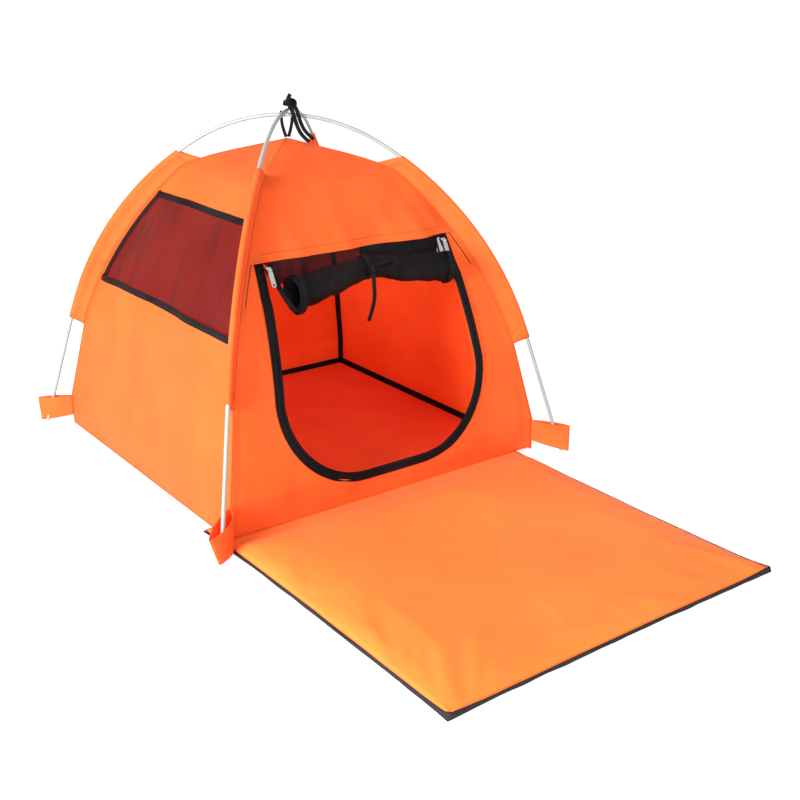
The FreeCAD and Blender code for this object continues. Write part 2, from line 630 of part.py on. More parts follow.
for side, sign in (("left", -1), ("right", 1)):
    slider_top = value("Dims.flap_height") - 6
    face = value(wall_out(str(slider_top), "0"))
    low_face = value(wall_out(str(slider_top - 30), "0"))
    lean = math.degrees(math.atan2(low_face - face, 30))
    place = FreeCAD.Placement(V(sign * value("Dims.slider_out"), -face - 1.2, slider_top),
                              FreeCAD.Rotation(V(1, 0, 0), -lean))

    slider = new_body(f"{side}_zip_slider")
    slider.Placement = place
    plan = new_sketch(slider, "XZ_Plane")
    half = "Dims.slider_width / 2"
    draw(plan, [(f"-{half}", "0"), ("-Dims.slider_width / 3", "-Dims.slider_length"),
                ("Dims.slider_width / 3", "-Dims.slider_length"), (half, "0")])
    pad(slider, plan, "Dims.slider_thick", "One side")
    lug = new_sketch(slider, "YZ_Plane")
    lug_top, lug_foot = "-(Dims.eye_down - 1.1)", "-(Dims.eye_down + 1.1)"
    lug_back, lug_front = "-(Dims.slider_thick - 0.5)", "-(Dims.eye_out + 0.9)"
    draw(lug, [(lug_back, lug_top), (lug_back, lug_foot), (lug_front, lug_foot), (lug_front, lug_top)])
    pad(slider, lug, "Dims.eye_gap + 1.6")
    gap = new_sketch(slider, "YZ_Plane")
    gap_back, gap_front = "-(Dims.slider_thick + 0.05)", "-(Dims.eye_out + 2)"
    draw(gap, [(gap_back, "0"), (gap_back, "-9"), (gap_front, "-9"), (gap_front, "0")])
    pocket(slider, gap, "Dims.eye_gap")
    bar = new_sketch(slider, "YZ_Plane")
    draw_circle(bar, "-Dims.eye_out", "-Dims.eye_down", "Dims.eye_radius")
    pad(slider, bar, "Dims.eye_gap + 0.4")

    pull = new_body(f"{side}_zip_pull")
    pull.Placement = place
    knuckle = new_sketch(pull, "YZ_Plane")
    draw_circle(knuckle, "-Dims.eye_out", "-Dims.eye_down", "Dims.eye_radius + 0.75")
    pad(pull, knuckle, "Dims.eye_gap - 0.6")
    plan = new_sketch(pull, "XZ_Plane", "Dims.eye_out - Dims.pull_thick / 2")
    half = "(Dims.pull_width / 2)"
    neck, shoulder = "-(Dims.eye_down + 0.9)", "-(Dims.eye_down + 2.6)"
    end = "(0 - Dims.eye_down - Dims.pull_length)"
    draw(plan, [("-Dims.pull_neck", neck), ("-Dims.pull_neck", shoulder), (f"-{half}", shoulder),
                (f"-{half}", f"{end} + {half}", f"-{half}"), ("0", end, f"-{half}"),
                (half, f"{end} + {half}"), (half, shoulder), ("Dims.pull_neck", shoulder),
                ("Dims.pull_neck", neck)])
    draw_circle(plan, "0", f"{end} + {half}", "Dims.pull_hole")
    pad(pull, plan, "Dims.pull_thick", "One side")
    eye = new_sketch(pull, "YZ_Plane")
    draw_circle(eye, "-Dims.eye_out", "-Dims.eye_down", "Dims.eye_radius + 0.08")
    pocket(pull, eye, "Dims.pull_width")
    bar_at = place.multVec(V(0, -value("Dims.eye_out"), -value("Dims.eye_down")))
    down = place.Rotation.multVec(V(0, 0, -1))
    print(f"{side} pull turns at {[round(c, 2) for c in bar_at]}, slides along "
          f"{[round(c, 4) for c in down]}")

# ---------------------------------------------------------------- mat


def mat_section(skin):
    """Cross-section of the mat from front to back, inset by the thickness of its skin."""
    front = f"-(Dims.mat_front - {skin})"
    back = "-Dims.mat_back" if skin == "0" else f"-(Dims.mat_tuck + 4)"
    thick = f"(Dims.mat_height - {skin})"
    thin = f"(Dims.mat_edge + 0.5 - {skin})" if skin != "0" else "Dims.mat_edge"
    base = "Dims.mat_skin"
    corners = [(front, base), (front, f"{base} + 1" if skin != "0" else "Dims.mat_edge + 1"),
               ("-(Dims.mat_front - Dims.mat_rise)", thick),
               ("-(Dims.mat_tuck + Dims.mat_rise)", thick)]
    if skin == "0":
        corners += [("-Dims.mat_tuck", thin), (back, thin), (back, base)]
    else:
        corners += [(back, base)]
    return corners


MAT_AT = V(value("Dims.mat_middle"), 0, 0)
cover = new_body("mat_cover", 0, MAT_AT)
section = new_sketch(cover, "YZ_Plane")
draw(section, mat_section("0"))
pad(cover, section, "Dims.mat_width")
hollow = new_sketch(cover, "YZ_Plane")
draw(hollow, mat_section("Dims.mat_skin"))
pocket(cover, hollow, "Dims.mat_width - 2 * Dims.mat_rise")

padding = new_body("mat_padding", 0, MAT_AT)
section = new_sketch(padding, "YZ_Plane")
draw(section, mat_section("(Dims.mat_skin + 0.1)"))
pad(padding, section, "Dims.mat_width - 2 * Dims.mat_rise - 1")

underside = new_body("mat_underside", 0, MAT_AT)
plan = new_sketch(underside, "XY_Plane")
half = "(Dims.mat_width / 2)"
draw(plan, [(f"-{half}", "-Dims.mat_front"), (half, "-Dims.mat_front"), (half, "-Dims.mat_back"),
            (f"-{half}", "-Dims.mat_back")])
pad(underside, plan, "Dims.mat_skin", "One side")

# ---------------------------------------------------------------- check and write

doc.recompute()
for item in doc.Objects:
    if "Invalid" in item.State or "Error" in item.State:
        raise RuntimeError(f"{item.Name} of {item.Label} failed: {item.State}")
os.makedirs("parts", exist_ok=True)
for part in sub_parts:
    if part.Shape.isNull() or not part.Shape.isValid():
        raise RuntimeError(f"{part.Label} has no valid shape")
for part in sub_parts:
    part.Shape.exportStep(f"parts/{part.Label}.step")
print(f"{len(sub_parts)} sub-parts written")
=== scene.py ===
"""A small dome tent with a rolled-up door, a tied crown and a padded mat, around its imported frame.

Every length in the shape code is in millimetres, and make_piece turns it into metres.
"""

import math

import bpy
from mathutils import Matrix, Vector, noise


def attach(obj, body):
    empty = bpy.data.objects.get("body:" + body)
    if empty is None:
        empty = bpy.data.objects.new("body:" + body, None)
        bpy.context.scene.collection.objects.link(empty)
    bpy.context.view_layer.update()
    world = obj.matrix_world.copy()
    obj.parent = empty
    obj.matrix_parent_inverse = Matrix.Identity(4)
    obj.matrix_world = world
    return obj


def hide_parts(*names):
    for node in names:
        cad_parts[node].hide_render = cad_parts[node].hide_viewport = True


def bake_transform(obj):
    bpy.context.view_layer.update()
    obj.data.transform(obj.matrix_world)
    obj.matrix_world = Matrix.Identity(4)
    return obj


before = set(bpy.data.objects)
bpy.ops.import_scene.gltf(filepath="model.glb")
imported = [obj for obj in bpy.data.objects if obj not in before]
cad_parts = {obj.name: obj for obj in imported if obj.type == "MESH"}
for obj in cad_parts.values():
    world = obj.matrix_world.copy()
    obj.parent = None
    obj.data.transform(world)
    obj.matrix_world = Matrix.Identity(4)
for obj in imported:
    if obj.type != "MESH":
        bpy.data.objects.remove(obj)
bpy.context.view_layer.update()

MM = 0.001
scene = bpy.context.scene

# -------- camera

CAMERA_PLACE = Vector((-0.8298, -1.3661, 0.6545))
CAMERA_TARGET = Vector((-0.0660, -0.3397, 0.1724))
CAMERA_ROLL = math.radians(0.1)

camera = bpy.data.objects.new("camera", bpy.data.cameras.new("camera"))
camera.data.lens = 53.28
camera.data.sensor_width = 36
camera.data.clip_start = 0.05
camera.data.clip_end = 100
aim = (CAMERA_TARGET - CAMERA_PLACE).to_track_quat("-Z", "Y").to_matrix().to_4x4()
camera.matrix_world = Matrix.Translation(CAMERA_PLACE) @ aim @ Matrix.Rotation(CAMERA_ROLL, 4, "Z")
scene.collection.objects.link(camera)
scene.camera = camera

# -------- materials


def add_node(tree, kind, settings=None, **inputs):
    """A new node. Inputs are given by their names, with _ for a space, as numbers or as sockets to link."""
    node = tree.nodes.new(kind)
    for key, value in (settings or {}).items():
        setattr(node, key, value)
    for key, value in inputs.items():
        place = int(key[1:]) if key[0] == "n" and key[1:].isdigit() else key.replace("_", " ")
        if isinstance(value, bpy.types.NodeSocket):
            tree.links.new(value, node.inputs[place])
        else:
            node.inputs[place].default_value = value
    return node


def new_tree(name):
    material = bpy.data.materials.new(name)
    material.use_nodes = True
    material.node_tree.nodes.clear()
    return material, material.node_tree


BAND_PERIOD = 2 * math.pi / 20  # a wave texture's period in metres at scale 1


def cloth_finish(name, colour, dark, weave=0.9, depth=0.35, roughness=0.62, sheen=0.04,
                 through=0.0, through_colour=None, alpha=None, patch=14, gloss=0.16):
    """A woven cloth: threads both ways in the bump, slubs, patches of darker dye, painted shade in the
    hollows between threads, some light through it.
    """
    material, tree = new_tree(name)
    place = add_node(tree, "ShaderNodeTexCoord").outputs["UV"]
    body = add_node(tree, "ShaderNodeTexCoord").outputs["Object"]
    warp = add_node(tree, "ShaderNodeTexWave", {"bands_direction": "X"},
                    Vector=place, Scale=BAND_PERIOD / (weave * MM), Distortion=0.4).outputs["Fac"]
    weft = add_node(tree, "ShaderNodeTexWave", {"bands_direction": "Y"},
                    Vector=place, Scale=BAND_PERIOD / (weave * MM), Distortion=0.4).outputs["Fac"]
    threads = add_node(tree, "ShaderNodeMath", {"operation": "MAXIMUM"}, n0=warp, n1=weft).outputs[0]
    slubs = add_node(tree, "ShaderNodeTexNoise", Vector=body, Scale=260.0, Detail=2.0).outputs["Fac"]
    height = add_node(tree, "ShaderNodeMath", {"operation": "ADD"}, n0=threads, n1=slubs).outputs[0]
    dye = add_node(tree, "ShaderNodeTexNoise", Vector=body, Scale=float(patch), Detail=3.0).outputs["Fac"]
    spread = add_node(tree, "ShaderNodeMapRange", Value=dye, From_Min=0.35, From_Max=0.7).outputs["Result"]
    mixed = add_node(tree, "ShaderNodeMix", {"data_type": "RGBA"}, Factor=spread)
    mixed.inputs[6].default_value = (*dark, 1)
    mixed.inputs[7].default_value = (*colour, 1)
    # Painted shade: the colour is scaled by the bump's height, so it is darker in the hollows between threads
    # and lighter on the raised threads and slubs.
    hollow_shade_and_slub_tone = add_node(tree, "ShaderNodeMapRange", Value=height, From_Min=0.3, From_Max=1.7,
                     To_Min=0.9, To_Max=1.06).outputs["Result"]
    tint = add_node(tree, "ShaderNodeVectorMath", {"operation": "SCALE"}, Vector=mixed.outputs[2],
                    Scale=hollow_shade_and_slub_tone)
    bump = add_node(tree, "ShaderNodeBump", Height=height, Strength=depth, Distance=0.0003)
    shader = add_node(tree, "ShaderNodeBsdfPrincipled", Base_Color=tint.outputs[0], Roughness=roughness,
                      Normal=bump.outputs[0])
    shader.inputs["Sheen Weight"].default_value = sheen
    shader.inputs["Sheen Roughness"].default_value = 0.45
    shader.inputs["Specular IOR Level"].default_value = gloss
    last = shader.outputs[0]
    if alpha is not None:
        holes = add_node(tree, "ShaderNodeMapRange", Value=threads, From_Min=0.5, From_Max=1.0,
                         To_Min=alpha[0], To_Max=alpha[1]).outputs["Result"]
        long_way = add_node(tree, "ShaderNodeMapping", Vector=place, Scale=(30.0, 6.0, 1.0),
                            Rotation=(0.0, 0.0, 0.25)).outputs[0]
        streak = add_node(tree, "ShaderNodeTexNoise", Vector=long_way, Scale=1.0, Detail=2.0).outputs["Fac"]
        doubled = add_node(tree, "ShaderNodeMapRange", Value=streak, From_Min=0.5, From_Max=0.75,
                           To_Min=0.0, To_Max=0.22).outputs["Result"]
        closed = add_node(tree, "ShaderNodeMath", {"operation": "ADD", "use_clamp": True}, n0=holes,
                          n1=doubled)
        tree.links.new(closed.outputs[0], shader.inputs["Alpha"])
    if through:
        glow = add_node(tree, "ShaderNodeBsdfTranslucent", Color=(*(through_colour or colour), 1))
        last = add_node(tree, "ShaderNodeMixShader", n0=through, n1=last, n2=glow.outputs[0]).outputs[0]
    add_node(tree, "ShaderNodeOutputMaterial", Surface=last)
    return material


def hard_finish(name, colour, dark, roughness, metallic=0.0, brushed=0.0, gloss=0.5):
    """A rod, ferrule or casting: fine draw lines in the bump, and a slightly uneven colour and polish."""
    material, tree = new_tree(name)
    body = add_node(tree, "ShaderNodeTexCoord").outputs["Object"]
    grain = add_node(tree, "ShaderNodeTexNoise", Vector=body, Scale=900.0, Detail=3.0).outputs["Fac"]
    cloud = add_node(tree, "ShaderNodeTexNoise", Vector=body, Scale=40.0, Detail=3.0).outputs["Fac"]
    mixed = add_node(tree, "ShaderNodeMix", {"data_type": "RGBA"}, Factor=cloud)
    mixed.inputs[6].default_value = (*dark, 1)
    mixed.inputs[7].default_value = (*colour, 1)
    rough = add_node(tree, "ShaderNodeMapRange", Value=cloud, From_Min=0.3, From_Max=0.7,
                     To_Min=roughness * 0.8, To_Max=roughness * 1.25).outputs["Result"]
    bump = add_node(tree, "ShaderNodeBump", Height=grain, Strength=0.1 + brushed, Distance=0.0001)
    shader = add_node(tree, "ShaderNodeBsdfPrincipled", Base_Color=mixed.outputs[2], Roughness=rough,
                      Metallic=metallic, Normal=bump.outputs[0])
    shader.inputs["Specular IOR Level"].default_value = gloss
    add_node(tree, "ShaderNodeOutputMaterial", Surface=shader.outputs[0])
    return material


ORANGE = (0.93, 0.185, 0.035)
ORANGE_DARK = (0.86, 0.155, 0.028)
FINISHES = {
    "tent_cloth": cloth_finish("tent_cloth", ORANGE, ORANGE_DARK, through=0.46,
                               through_colour=(1.0, 0.11, 0.018)),
    "floor_cloth": cloth_finish("floor_cloth", (0.95, 0.115, 0.028), (0.9, 0.095, 0.022), roughness=0.5,
                                through=0.2),
    "black_net": cloth_finish("black_net", (0.014, 0.011, 0.013), (0.008, 0.007, 0.009), weave=1.3,
                              roughness=0.7, sheen=0.0, alpha=(0.44, 0.7), gloss=0.06),
    "black_tape": cloth_finish("black_tape", (0.009, 0.008, 0.009), (0.005, 0.005, 0.006), weave=0.8,
                               depth=0.6, roughness=0.45, sheen=0.0, gloss=0.05),
    "black_ribbon": cloth_finish("black_ribbon", (0.009, 0.008, 0.009), (0.005, 0.005, 0.006), weave=0.7,
                                 depth=0.6, roughness=0.45, sheen=0.0, gloss=0.06),
    "glass_fibre": hard_finish("glass_fibre", (0.27, 0.31, 0.3), (0.2, 0.24, 0.23), 0.2),
    "ferrule_steel": hard_finish("ferrule_steel", (0.62, 0.62, 0.63), (0.5, 0.5, 0.52), 0.3, 1.0, 0.3),
    "zip_metal": hard_finish("zip_metal", (0.78, 0.76, 0.73), (0.62, 0.6, 0.57), 0.24, 1.0, 0.1),
    "mat_cloth": cloth_finish("mat_cloth", (0.93, 0.19, 0.03), (0.88, 0.155, 0.024), weave=1.0, patch=5),
    "mat_underside": cloth_finish("mat_underside", (0.03, 0.026, 0.029), (0.018, 0.015, 0.018), weave=1.6,
                                  depth=0.8, roughness=0.8, sheen=0.0, gloss=0.1),
}
thick_net = cloth_finish("thick_net", (0.008, 0.006, 0.007), (0.004, 0.004, 0.005), weave=1.3,
                         depth=0.6, roughness=0.5, sheen=0.0, alpha=(0.82, 1.0), gloss=0.06)
stitch_thread = cloth_finish("stitch_thread", (0.5, 0.05, 0.01), (0.4, 0.04, 0.008), weave=0.4, roughness=0.5)

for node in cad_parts.values():
    for place in node.material_slots:
        base = place.material.name.split(".")[0] if place.material else ""
        if base in FINISHES:
            place.material = FINISHES[base]

# -------- mesh helpers


def make_piece(name, points, faces, slot, body, uvs=None, thickness=0.0, replaces=(), material=None):
    """One smooth-shaded piece from points in millimetres, riding on a body."""
    mesh = bpy.data.meshes.new(name)
    mesh.from_pydata([Vector(p) * MM for p in points], [], faces)
    mesh.update()
    if uvs:
        layer = mesh.uv_layers.new(name="cloth")
        for loop in mesh.loops:
            layer.data[loop.index].uv = Vector(uvs[loop.vertex_index]) * MM
    mesh.polygons.foreach_set("use_smooth", [True] * len(mesh.polygons))
    mesh.materials.append(material or FINISHES[slot])
    piece = bpy.data.objects.new(name, mesh)
    scene.collection.objects.link(piece)
    if thickness:
        solid = piece.modifiers.new("thickness", "SOLIDIFY")
        solid.thickness = thickness * MM
        solid.offset = 0
    if body:
        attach(piece, body)
    if replaces:
        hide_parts(*replaces)
    return piece


def grid_faces(columns, rows, joined=False, first=0):
    """The quads between rows of points, each row columns long. joined closes every row into a ring."""
    faces = []
    for row in range(rows - 1):
        for column in range(columns if joined else columns - 1):
            beside = (column + 1) % columns
            low = first + row * columns
            faces.append((low + column, low + beside, low + columns + beside, low + columns + column))
    return faces


def surface(place, columns, rows):
    """Points, faces and uvs of place(u, v) for u and v from 0 to 1. place gives a point and its uv."""
    points, uvs = [], []
    for row in range(rows):
        for column in range(columns):
            point, uv = place(column / (columns - 1), row / (rows - 1))
            points.append(point)
            uvs.append(uv)
    return points, grid_faces(columns, rows), uvs


def smooth_line(points, order=3):
    """Points along the NURBS curve that the route's points steer, all in millimetres."""
    curve = bpy.data.curves.new("route", "CURVE")
    curve.dimensions = "3D"
    spline = curve.splines.new("NURBS")
    spline.points.add(len(points) - 1)
    for control, point in zip(spline.points, points):
        control.co = (*[c * MM for c in point], 1)
    spline.order_u = order
    spline.use_endpoint_u = True
    spline.resolution_u = 10
    holder = bpy.data.objects.new("route", curve)
    mesh = bpy.data.meshes.new_from_object(holder)
    line = [v.co / MM for v in mesh.vertices]
    bpy.data.objects.remove(holder)
    bpy.data.curves.remove(curve)
    bpy.data.meshes.remove(mesh)
    return line


def swept(line, section, facing, ring=False, turn=0.0):
    """Points, faces and uvs of a closed section carried along a line. section is (across, up) pairs.

    facing is the way up, one vector or one for each point of the line, and turn twists it along the way.
    """
    points, uvs = [], []
    gone = 0.0
    count = len(line)
    for i, here in enumerate(line):
        here = Vector(here)
        before = Vector(line[i - 1] if i or ring else line[0])
        after = Vector(line[(i + 1) % count] if i < count - 1 or ring else line[-1])
        along = (after - before).normalized()
        up = Vector(facing[i] if isinstance(facing, list) else facing)
        side = along.cross(up).normalized()
        up = side.cross(along)
        angle = turn * i / (count - 1)
        side, up = (side * math.cos(angle) + up * math.sin(angle),
                    up * math.cos(angle) - side * math.sin(angle))
        gone += (here - before).length if i else 0
        for across, lift in section:
            points.append(here + side * across + up * lift)
            uvs.append((across, gone))
    across_count = len(section)
    faces = grid_faces(across_count, count, joined=True)
    if ring:
        last = (count - 1) * across_count
        for column in range(across_count):
            beside = (column + 1) % across_count
            faces.append((last + column, last + beside, beside, column))
    else:
        faces.append(tuple(reversed(range(across_count))))
        faces.append(tuple((count - 1) * across_count + i for i in range(across_count)))
    return points, faces, uvs


def joined(parts):
    """Several (points, faces, uvs) as one."""
    points, faces, uvs = [], [], []
    for more_points, more_faces, more_uvs in parts:
        first = len(points)
        points += more_points
        uvs += more_uvs
        faces += [tuple(first + i for i in face) for face in more_faces]
    return points, faces, uvs


def tape_section(width, thick):
    """A folded binding tape: a rounded band with two sewn grooves and a raised middle."""
    half = width / 2
    upper = [(-1, 0.1), (-0.96, 0.7), (-0.8, 1), (-0.62, 0.95), (-0.52, 0.55), (-0.4, 0.9), (0, 1.05),
             (0.4, 0.9), (0.52, 0.55), (0.62, 0.95), (0.8, 1), (0.96, 0.7), (1, 0.1)]
    lower = [(0.9, -0.3), (-0.9, -0.3)]
    return [(across * half, lift * thick) for across, lift in upper + lower]


def round_section(radius, count=10):
    return [(radius * math.cos(2 * math.pi * i / count), radius * math.sin(2 * math.pi * i / count))
            for i in range(count)]


def ribbon_section(width, thick):
    """A flat ribbon with three soft ridges along it."""
    half = width / 2
    top = [(-1, 0.2), (-0.82, 1), (-0.55, 0.5), (-0.28, 0.9), (0, 0.45), (0.28, 0.9), (0.55, 0.5), (0.82, 1),
           (1, 0.2)]
    low = [(0.82, -0.6), (0.28, -0.5), (-0.28, -0.5), (-0.82, -0.6)]
    return [(across * half, lift * thick) for across, lift in top + low]


def stitch_row(line, facing, length=3.2, gap=1.4, width=0.75, lift=0.35):
    """A row of short raised stitches along a line."""
    line = [Vector(p) for p in line]
    along = [0.0]
    for a, b in zip(line, line[1:]):
        along.append(along[-1] + (b - a).length)

    def at(distance):
        for i in range(1, len(line)):
            if distance <= along[i] or i == len(line) - 1:
                share = (distance - along[i - 1]) / max(along[i] - along[i - 1], 1e-6)
                return line[i - 1].lerp(line[i], share), i
        return line[-1], len(line) - 1

    parts = []
    start = gap
    section = [(-width / 2, 0.0), (-width / 3, lift), (width / 3, lift), (width / 2, 0.0)]
    while start + length < along[-1]:
        places = [at(start + length * share) for share in (0, 0.25, 0.75, 1)]
        up = facing[places[1][1]] if isinstance(facing, list) else facing
        ends = [p for p, _ in places]
        up = Vector(up).normalized()
        ends = [ends[0] - up * 0.1, ends[1] + up * 0.1, ends[2] + up * 0.1, ends[3] - up * 0.1]
        parts.append(swept(ends, section, up))
        start += length + gap
    return joined(parts)


# -------- the tent's walls

WALL_LOW = 45.0
WALL_HIGH = 154.0
DOME_TOP = 396.0
APEX = 426.0
BASE_HALF = 240.0
ROOF_HALF = 96.1
WALL_LEAN = 20.85
DOME_RADIUS = 598.0
DOME_ACROSS = -361.5
DOME_UP = 11.0
TURN = {"front": 0, "right": 90, "back": 180, "left": 270}
HEM = 308.0
WALL_TOP = 318.0


def drawn_half_width(z):
    """Half the wall's width at a height as it was cut, with a corner where the roof starts."""
    if z <= WALL_LOW:
        return BASE_HALF
    if z <= WALL_HIGH:
        return BASE_HALF - WALL_LEAN * (z - WALL_LOW) / (WALL_HIGH - WALL_LOW)
    if z <= DOME_TOP:
        return DOME_ACROSS + math.sqrt(DOME_RADIUS**2 - (z - DOME_UP) ** 2)
    return ROOF_HALF * (APEX - z) / (APEX - DOME_TOP)


def half_width(z):
    """How far a wall's outer face is from the middle: the cut line, smoothed over the roof's edge."""
    reach = min(13.0, APEX - z)
    if z < DOME_TOP - 26 or reach <= 0:
        return drawn_half_width(z)
    samples = [drawn_half_width(z + reach * k / 4) for k in range(-4, 5)]
    return sum(samples) / len(samples)


def turned(point, side):
    return Matrix.Rotation(math.radians(TURN[side]), 3, "Z") @ Vector(point)


def wall_point(side, across, z, out=0.0):
    return turned((across, -half_width(z) - out, z), side)


def wall_normal(side, z):
    slope = (half_width(min(z + 1, APEX)) - half_width(max(z - 1, 0))) / 2
    return turned((0, -1, -slope), side).normalized()


def eased(value, low, high):
    share = min(max((value - low) / (high - low), 0), 1)
    return share * share * (3 - 2 * share)


def seam_fade(across, z, reach=26.0):
    """0 on the seams beside a wall and at its foot, and 1 well away from them."""
    return eased(half_width(z) - abs(across), 0, reach) * eased(z, 0, 30)


def soft_fold(seed, across, z, wide, tall, depth):
    return depth * noise.noise(Vector((across / wide, z / tall, seed)))


def wall_fold(side, across, z):
    """How far the cloth stands out from the true surface: long soft waves, and puckers at the seams."""
    seed = 3.7 * TURN[side] / 90 + 1.3
    broad = soft_fold(seed, across, z, 95, 130, 5.5)
    fine = soft_fold(seed + 9, across + 0.4 * z, z, 30, 90, 1.6)
    near = 1 - eased(half_width(z) - abs(across), 8, 70)
    pucker = soft_fold(seed + 17, across * 0.3, z, 40, 16, 1.7) * near
    return (broad + fine + pucker) * seam_fade(across, z)


def ray_reach(outline, centre, angle):
    """How far a ray from the centre goes before it crosses the outline."""
    direction = (math.cos(angle), math.sin(angle))
    best = None
    for (ax, az), (bx, bz) in zip(outline, outline[1:] + outline[:1]):
        ex, ez = bx - ax, bz - az
        cross = direction[0] * ez - direction[1] * ex
        if abs(cross) < 1e-9:
            continue
        ox, oz = ax - centre[0], az - centre[1]
        distance = (ox * ez - oz * ex) / cross
        share = (ox * direction[1] - oz * direction[0]) / cross
        if distance > 0 and -1e-6 <= share <= 1 + 1e-6:
            best = distance if best is None else max(best, distance)
    return best


def gore_outline(low, high, inset=0.0, step=6.0):
    """The outline of a wall between two heights, as (across, z), from its lower left corner round."""
    count = max(1, round((high - low) / step))
    rows = [low + (high - low) * i / count for i in range(count + 1)]
    right = [(half_width(z) - inset, z) for z in rows]
    left = [(-(half_width(z) - inset), z) for z in reversed(rows)]
    return right + left


def holed_sheet(outer, inner, centre, corners, place, rings=22, rays=200):
    """A sheet between two outlines round one centre, with a vertex on every named corner."""
    angles = {round(2 * math.pi * i / rays, 5) for i in range(rays)}
    for x, z in corners:
        angle = round(math.atan2(z - centre[1], x - centre[0]) % (2 * math.pi), 5)
        angles = {a for a in angles if abs(a - angle) > math.pi / rays} | {angle}
    angles = sorted(angles)
    points, uvs = [], []
    for ring in range(rings):
        share = ring / (rings - 1)
        for angle in angles:
            reach = ray_reach(inner, centre, angle) * (1 - share) + ray_reach(outer, centre, angle) * share
            across, z = centre[0] + reach * math.cos(angle), centre[1] + reach * math.sin(angle)
            points.append(place(across, z))
            uvs.append((across, z))
    return points, grid_faces(len(angles), rings, joined=True), uvs


WINDOW_LOW = 224.0
WINDOW_HIGH = 351.0
WINDOW_INSET = 8.0
BINDING = 9.0
CLOTH = 0.5

for side in ("left", "right"):
    opening = gore_outline(WINDOW_LOW + BINDING / 2, WINDOW_HIGH - BINDING / 2, WINDOW_INSET + BINDING / 2)
    whole = gore_outline(0, APEX)
    middle = (0.0, 288.0)
    corners = [(half_width(z) * s - s * (WINDOW_INSET + BINDING / 2) * (z != 0), z)
               for z in (WINDOW_LOW + BINDING / 2, WINDOW_HIGH - BINDING / 2) for s in (-1, 1)]
    corners += [(-BASE_HALF, 0), (BASE_HALF, 0), (0, APEX), (ROOF_HALF, DOME_TOP), (-ROOF_HALF, DOME_TOP)]

    def place_wall(across, z, side=side):
        return wall_point(side, across, z, wall_fold(side, across, z) - 0.6)

    points, faces, uvs = holed_sheet(whole, opening, middle, corners, place_wall, rings=30, rays=240)
    wall = make_piece(f"{side}_wall", points, faces, "tent_cloth", "tent", uvs, CLOTH,
                      (f"{side}_wall_lower", f"{side}_wall_upper"))

    def place_net(u, v, side=side):
        z = WINDOW_LOW + 3 + (WINDOW_HIGH - WINDOW_LOW - 6) * v
        across = (half_width(z) - WINDOW_INSET - 3) * (2 * u - 1)
        hold = min(1, 4 * min(u, 1 - u)) * min(1, 4 * min(v, 1 - v))
        sag = 5.0 * noise.noise(Vector((across / 38 + 0.006 * z, z / 150, 5.5))) * hold
        rear = eased(-across, 10, 120) * eased(v, 0.2, 1)
        sag += 2.6 * math.sin(across / 5.5 + z / 40) * rear * hold
        return wall_point(side, across, z, sag - 1.4), (across, z)

    points, faces, uvs = surface(place_net, 110, 44)
    net = make_piece(f"{side}_net", points, faces, "black_net", "tent", uvs, 0, (f"{side}_window_net",))

    rows = [WINDOW_LOW + (WINDOW_HIGH - WINDOW_LOW) * i / 16 for i in range(17)]
    strips = []
    for edge, z in (("low", WINDOW_LOW + BINDING / 2 - 1), ("high", WINDOW_HIGH - BINDING / 2 + 1)):
        reach = half_width(z) - WINDOW_INSET + 1
        line = [wall_point(side, -reach + 2 * reach * i / 40, z,
                           wall_fold(side, -reach + 2 * reach * i / 40, z) + 0.1) for i in range(41)]
        strips.append(swept(line, tape_section(BINDING, 1.1), wall_normal(side, z)))
    for way in (-1, 1):
        line = [wall_point(side, way * (half_width(z) - WINDOW_INSET - BINDING / 2 + 1), z, 0.2)
                for z in rows]
        up = [wall_normal(side, z) for z in rows]
        strips.append(swept(line, tape_section(BINDING, 1.1), up))
    points, faces, uvs = joined(strips)
    make_piece(f"{side}_binding", points, faces, "black_tape", "tent", uvs,
               replaces=(f"{side}_window_binding",))


def place_back(u, v):
    z = APEX * v
    across = half_width(z) * (2 * u - 1)
    return wall_point("back", across, z, wall_fold("back", across, z) - 0.6), (across, z)


points, faces, uvs = surface(place_back, 90, 90)
back = make_piece("back_cloth", points, faces, "tent_cloth", "tent", uvs, CLOTH, ("back_wall",))

# -------- the front

DOOR_LOW = 36.0
DOOR_TURN = 148.0
DOOR_HALF = 155.0
DOOR_CORNER = DOOR_TURN - DOOR_LOW
DOOR_TOP_HALF = 140.0
SILL_HALF = DOOR_HALF - DOOR_CORNER


def door_outline(inset=0.0, top=HEM, steps=18):
    """The doorway's edge from its upper left end down, round the sill and up to the right, as (across, z)."""
    reach = DOOR_CORNER - inset
    left = []
    for i in range(13):
        z = top + (DOOR_TURN - top) * i / 12
        lean = DOOR_HALF + (DOOR_TOP_HALF - DOOR_HALF) * (z - DOOR_TURN) / (HEM - DOOR_TURN)
        left.append((-(lean - inset), z))
    for i in range(1, steps + 1):
        angle = math.pi / 2 * i / steps
        left.append((-SILL_HALF - reach * math.cos(angle), DOOR_TURN - reach * math.sin(angle)))
    sill = [(-SILL_HALF + 2 * SILL_HALF * i / 10, DOOR_TURN - reach) for i in range(1, 10)]
    return left + sill + [(-x, z) for x, z in reversed(left)]


def front_fold(across, z):
    """The front cloth: upright soft waves that fade at the seams and at the doorway."""
    wave = soft_fold(21.5, across, z, 34, 120, 3.2) + soft_fold(25.5, across - 0.3 * z, z, 70, 160, 4.0)
    return wave * seam_fade(across, z, 30)


DOOR_INSET = 1.6
STEP = 3.4
opening = door_outline(5.0, WALL_TOP - 6)
whole = gore_outline(STEP, WALL_TOP)
middle = (0.0, 150.0)
corners = [(-BASE_HALF, STEP), (BASE_HALF, STEP), (half_width(WALL_TOP), WALL_TOP),
           (-half_width(WALL_TOP), WALL_TOP), opening[0], opening[-1]]


def place_door_wall(across, z):
    behind = eased(z, 252, 272)
    fold = front_fold(across, z) * 0.7 * (1 - behind)
    inside = eased(half_width(z) - abs(across), 0, 14)
    return wall_point("front", across, z, fold - 0.6 - (DOOR_INSET + 1.6 * behind) * inside)


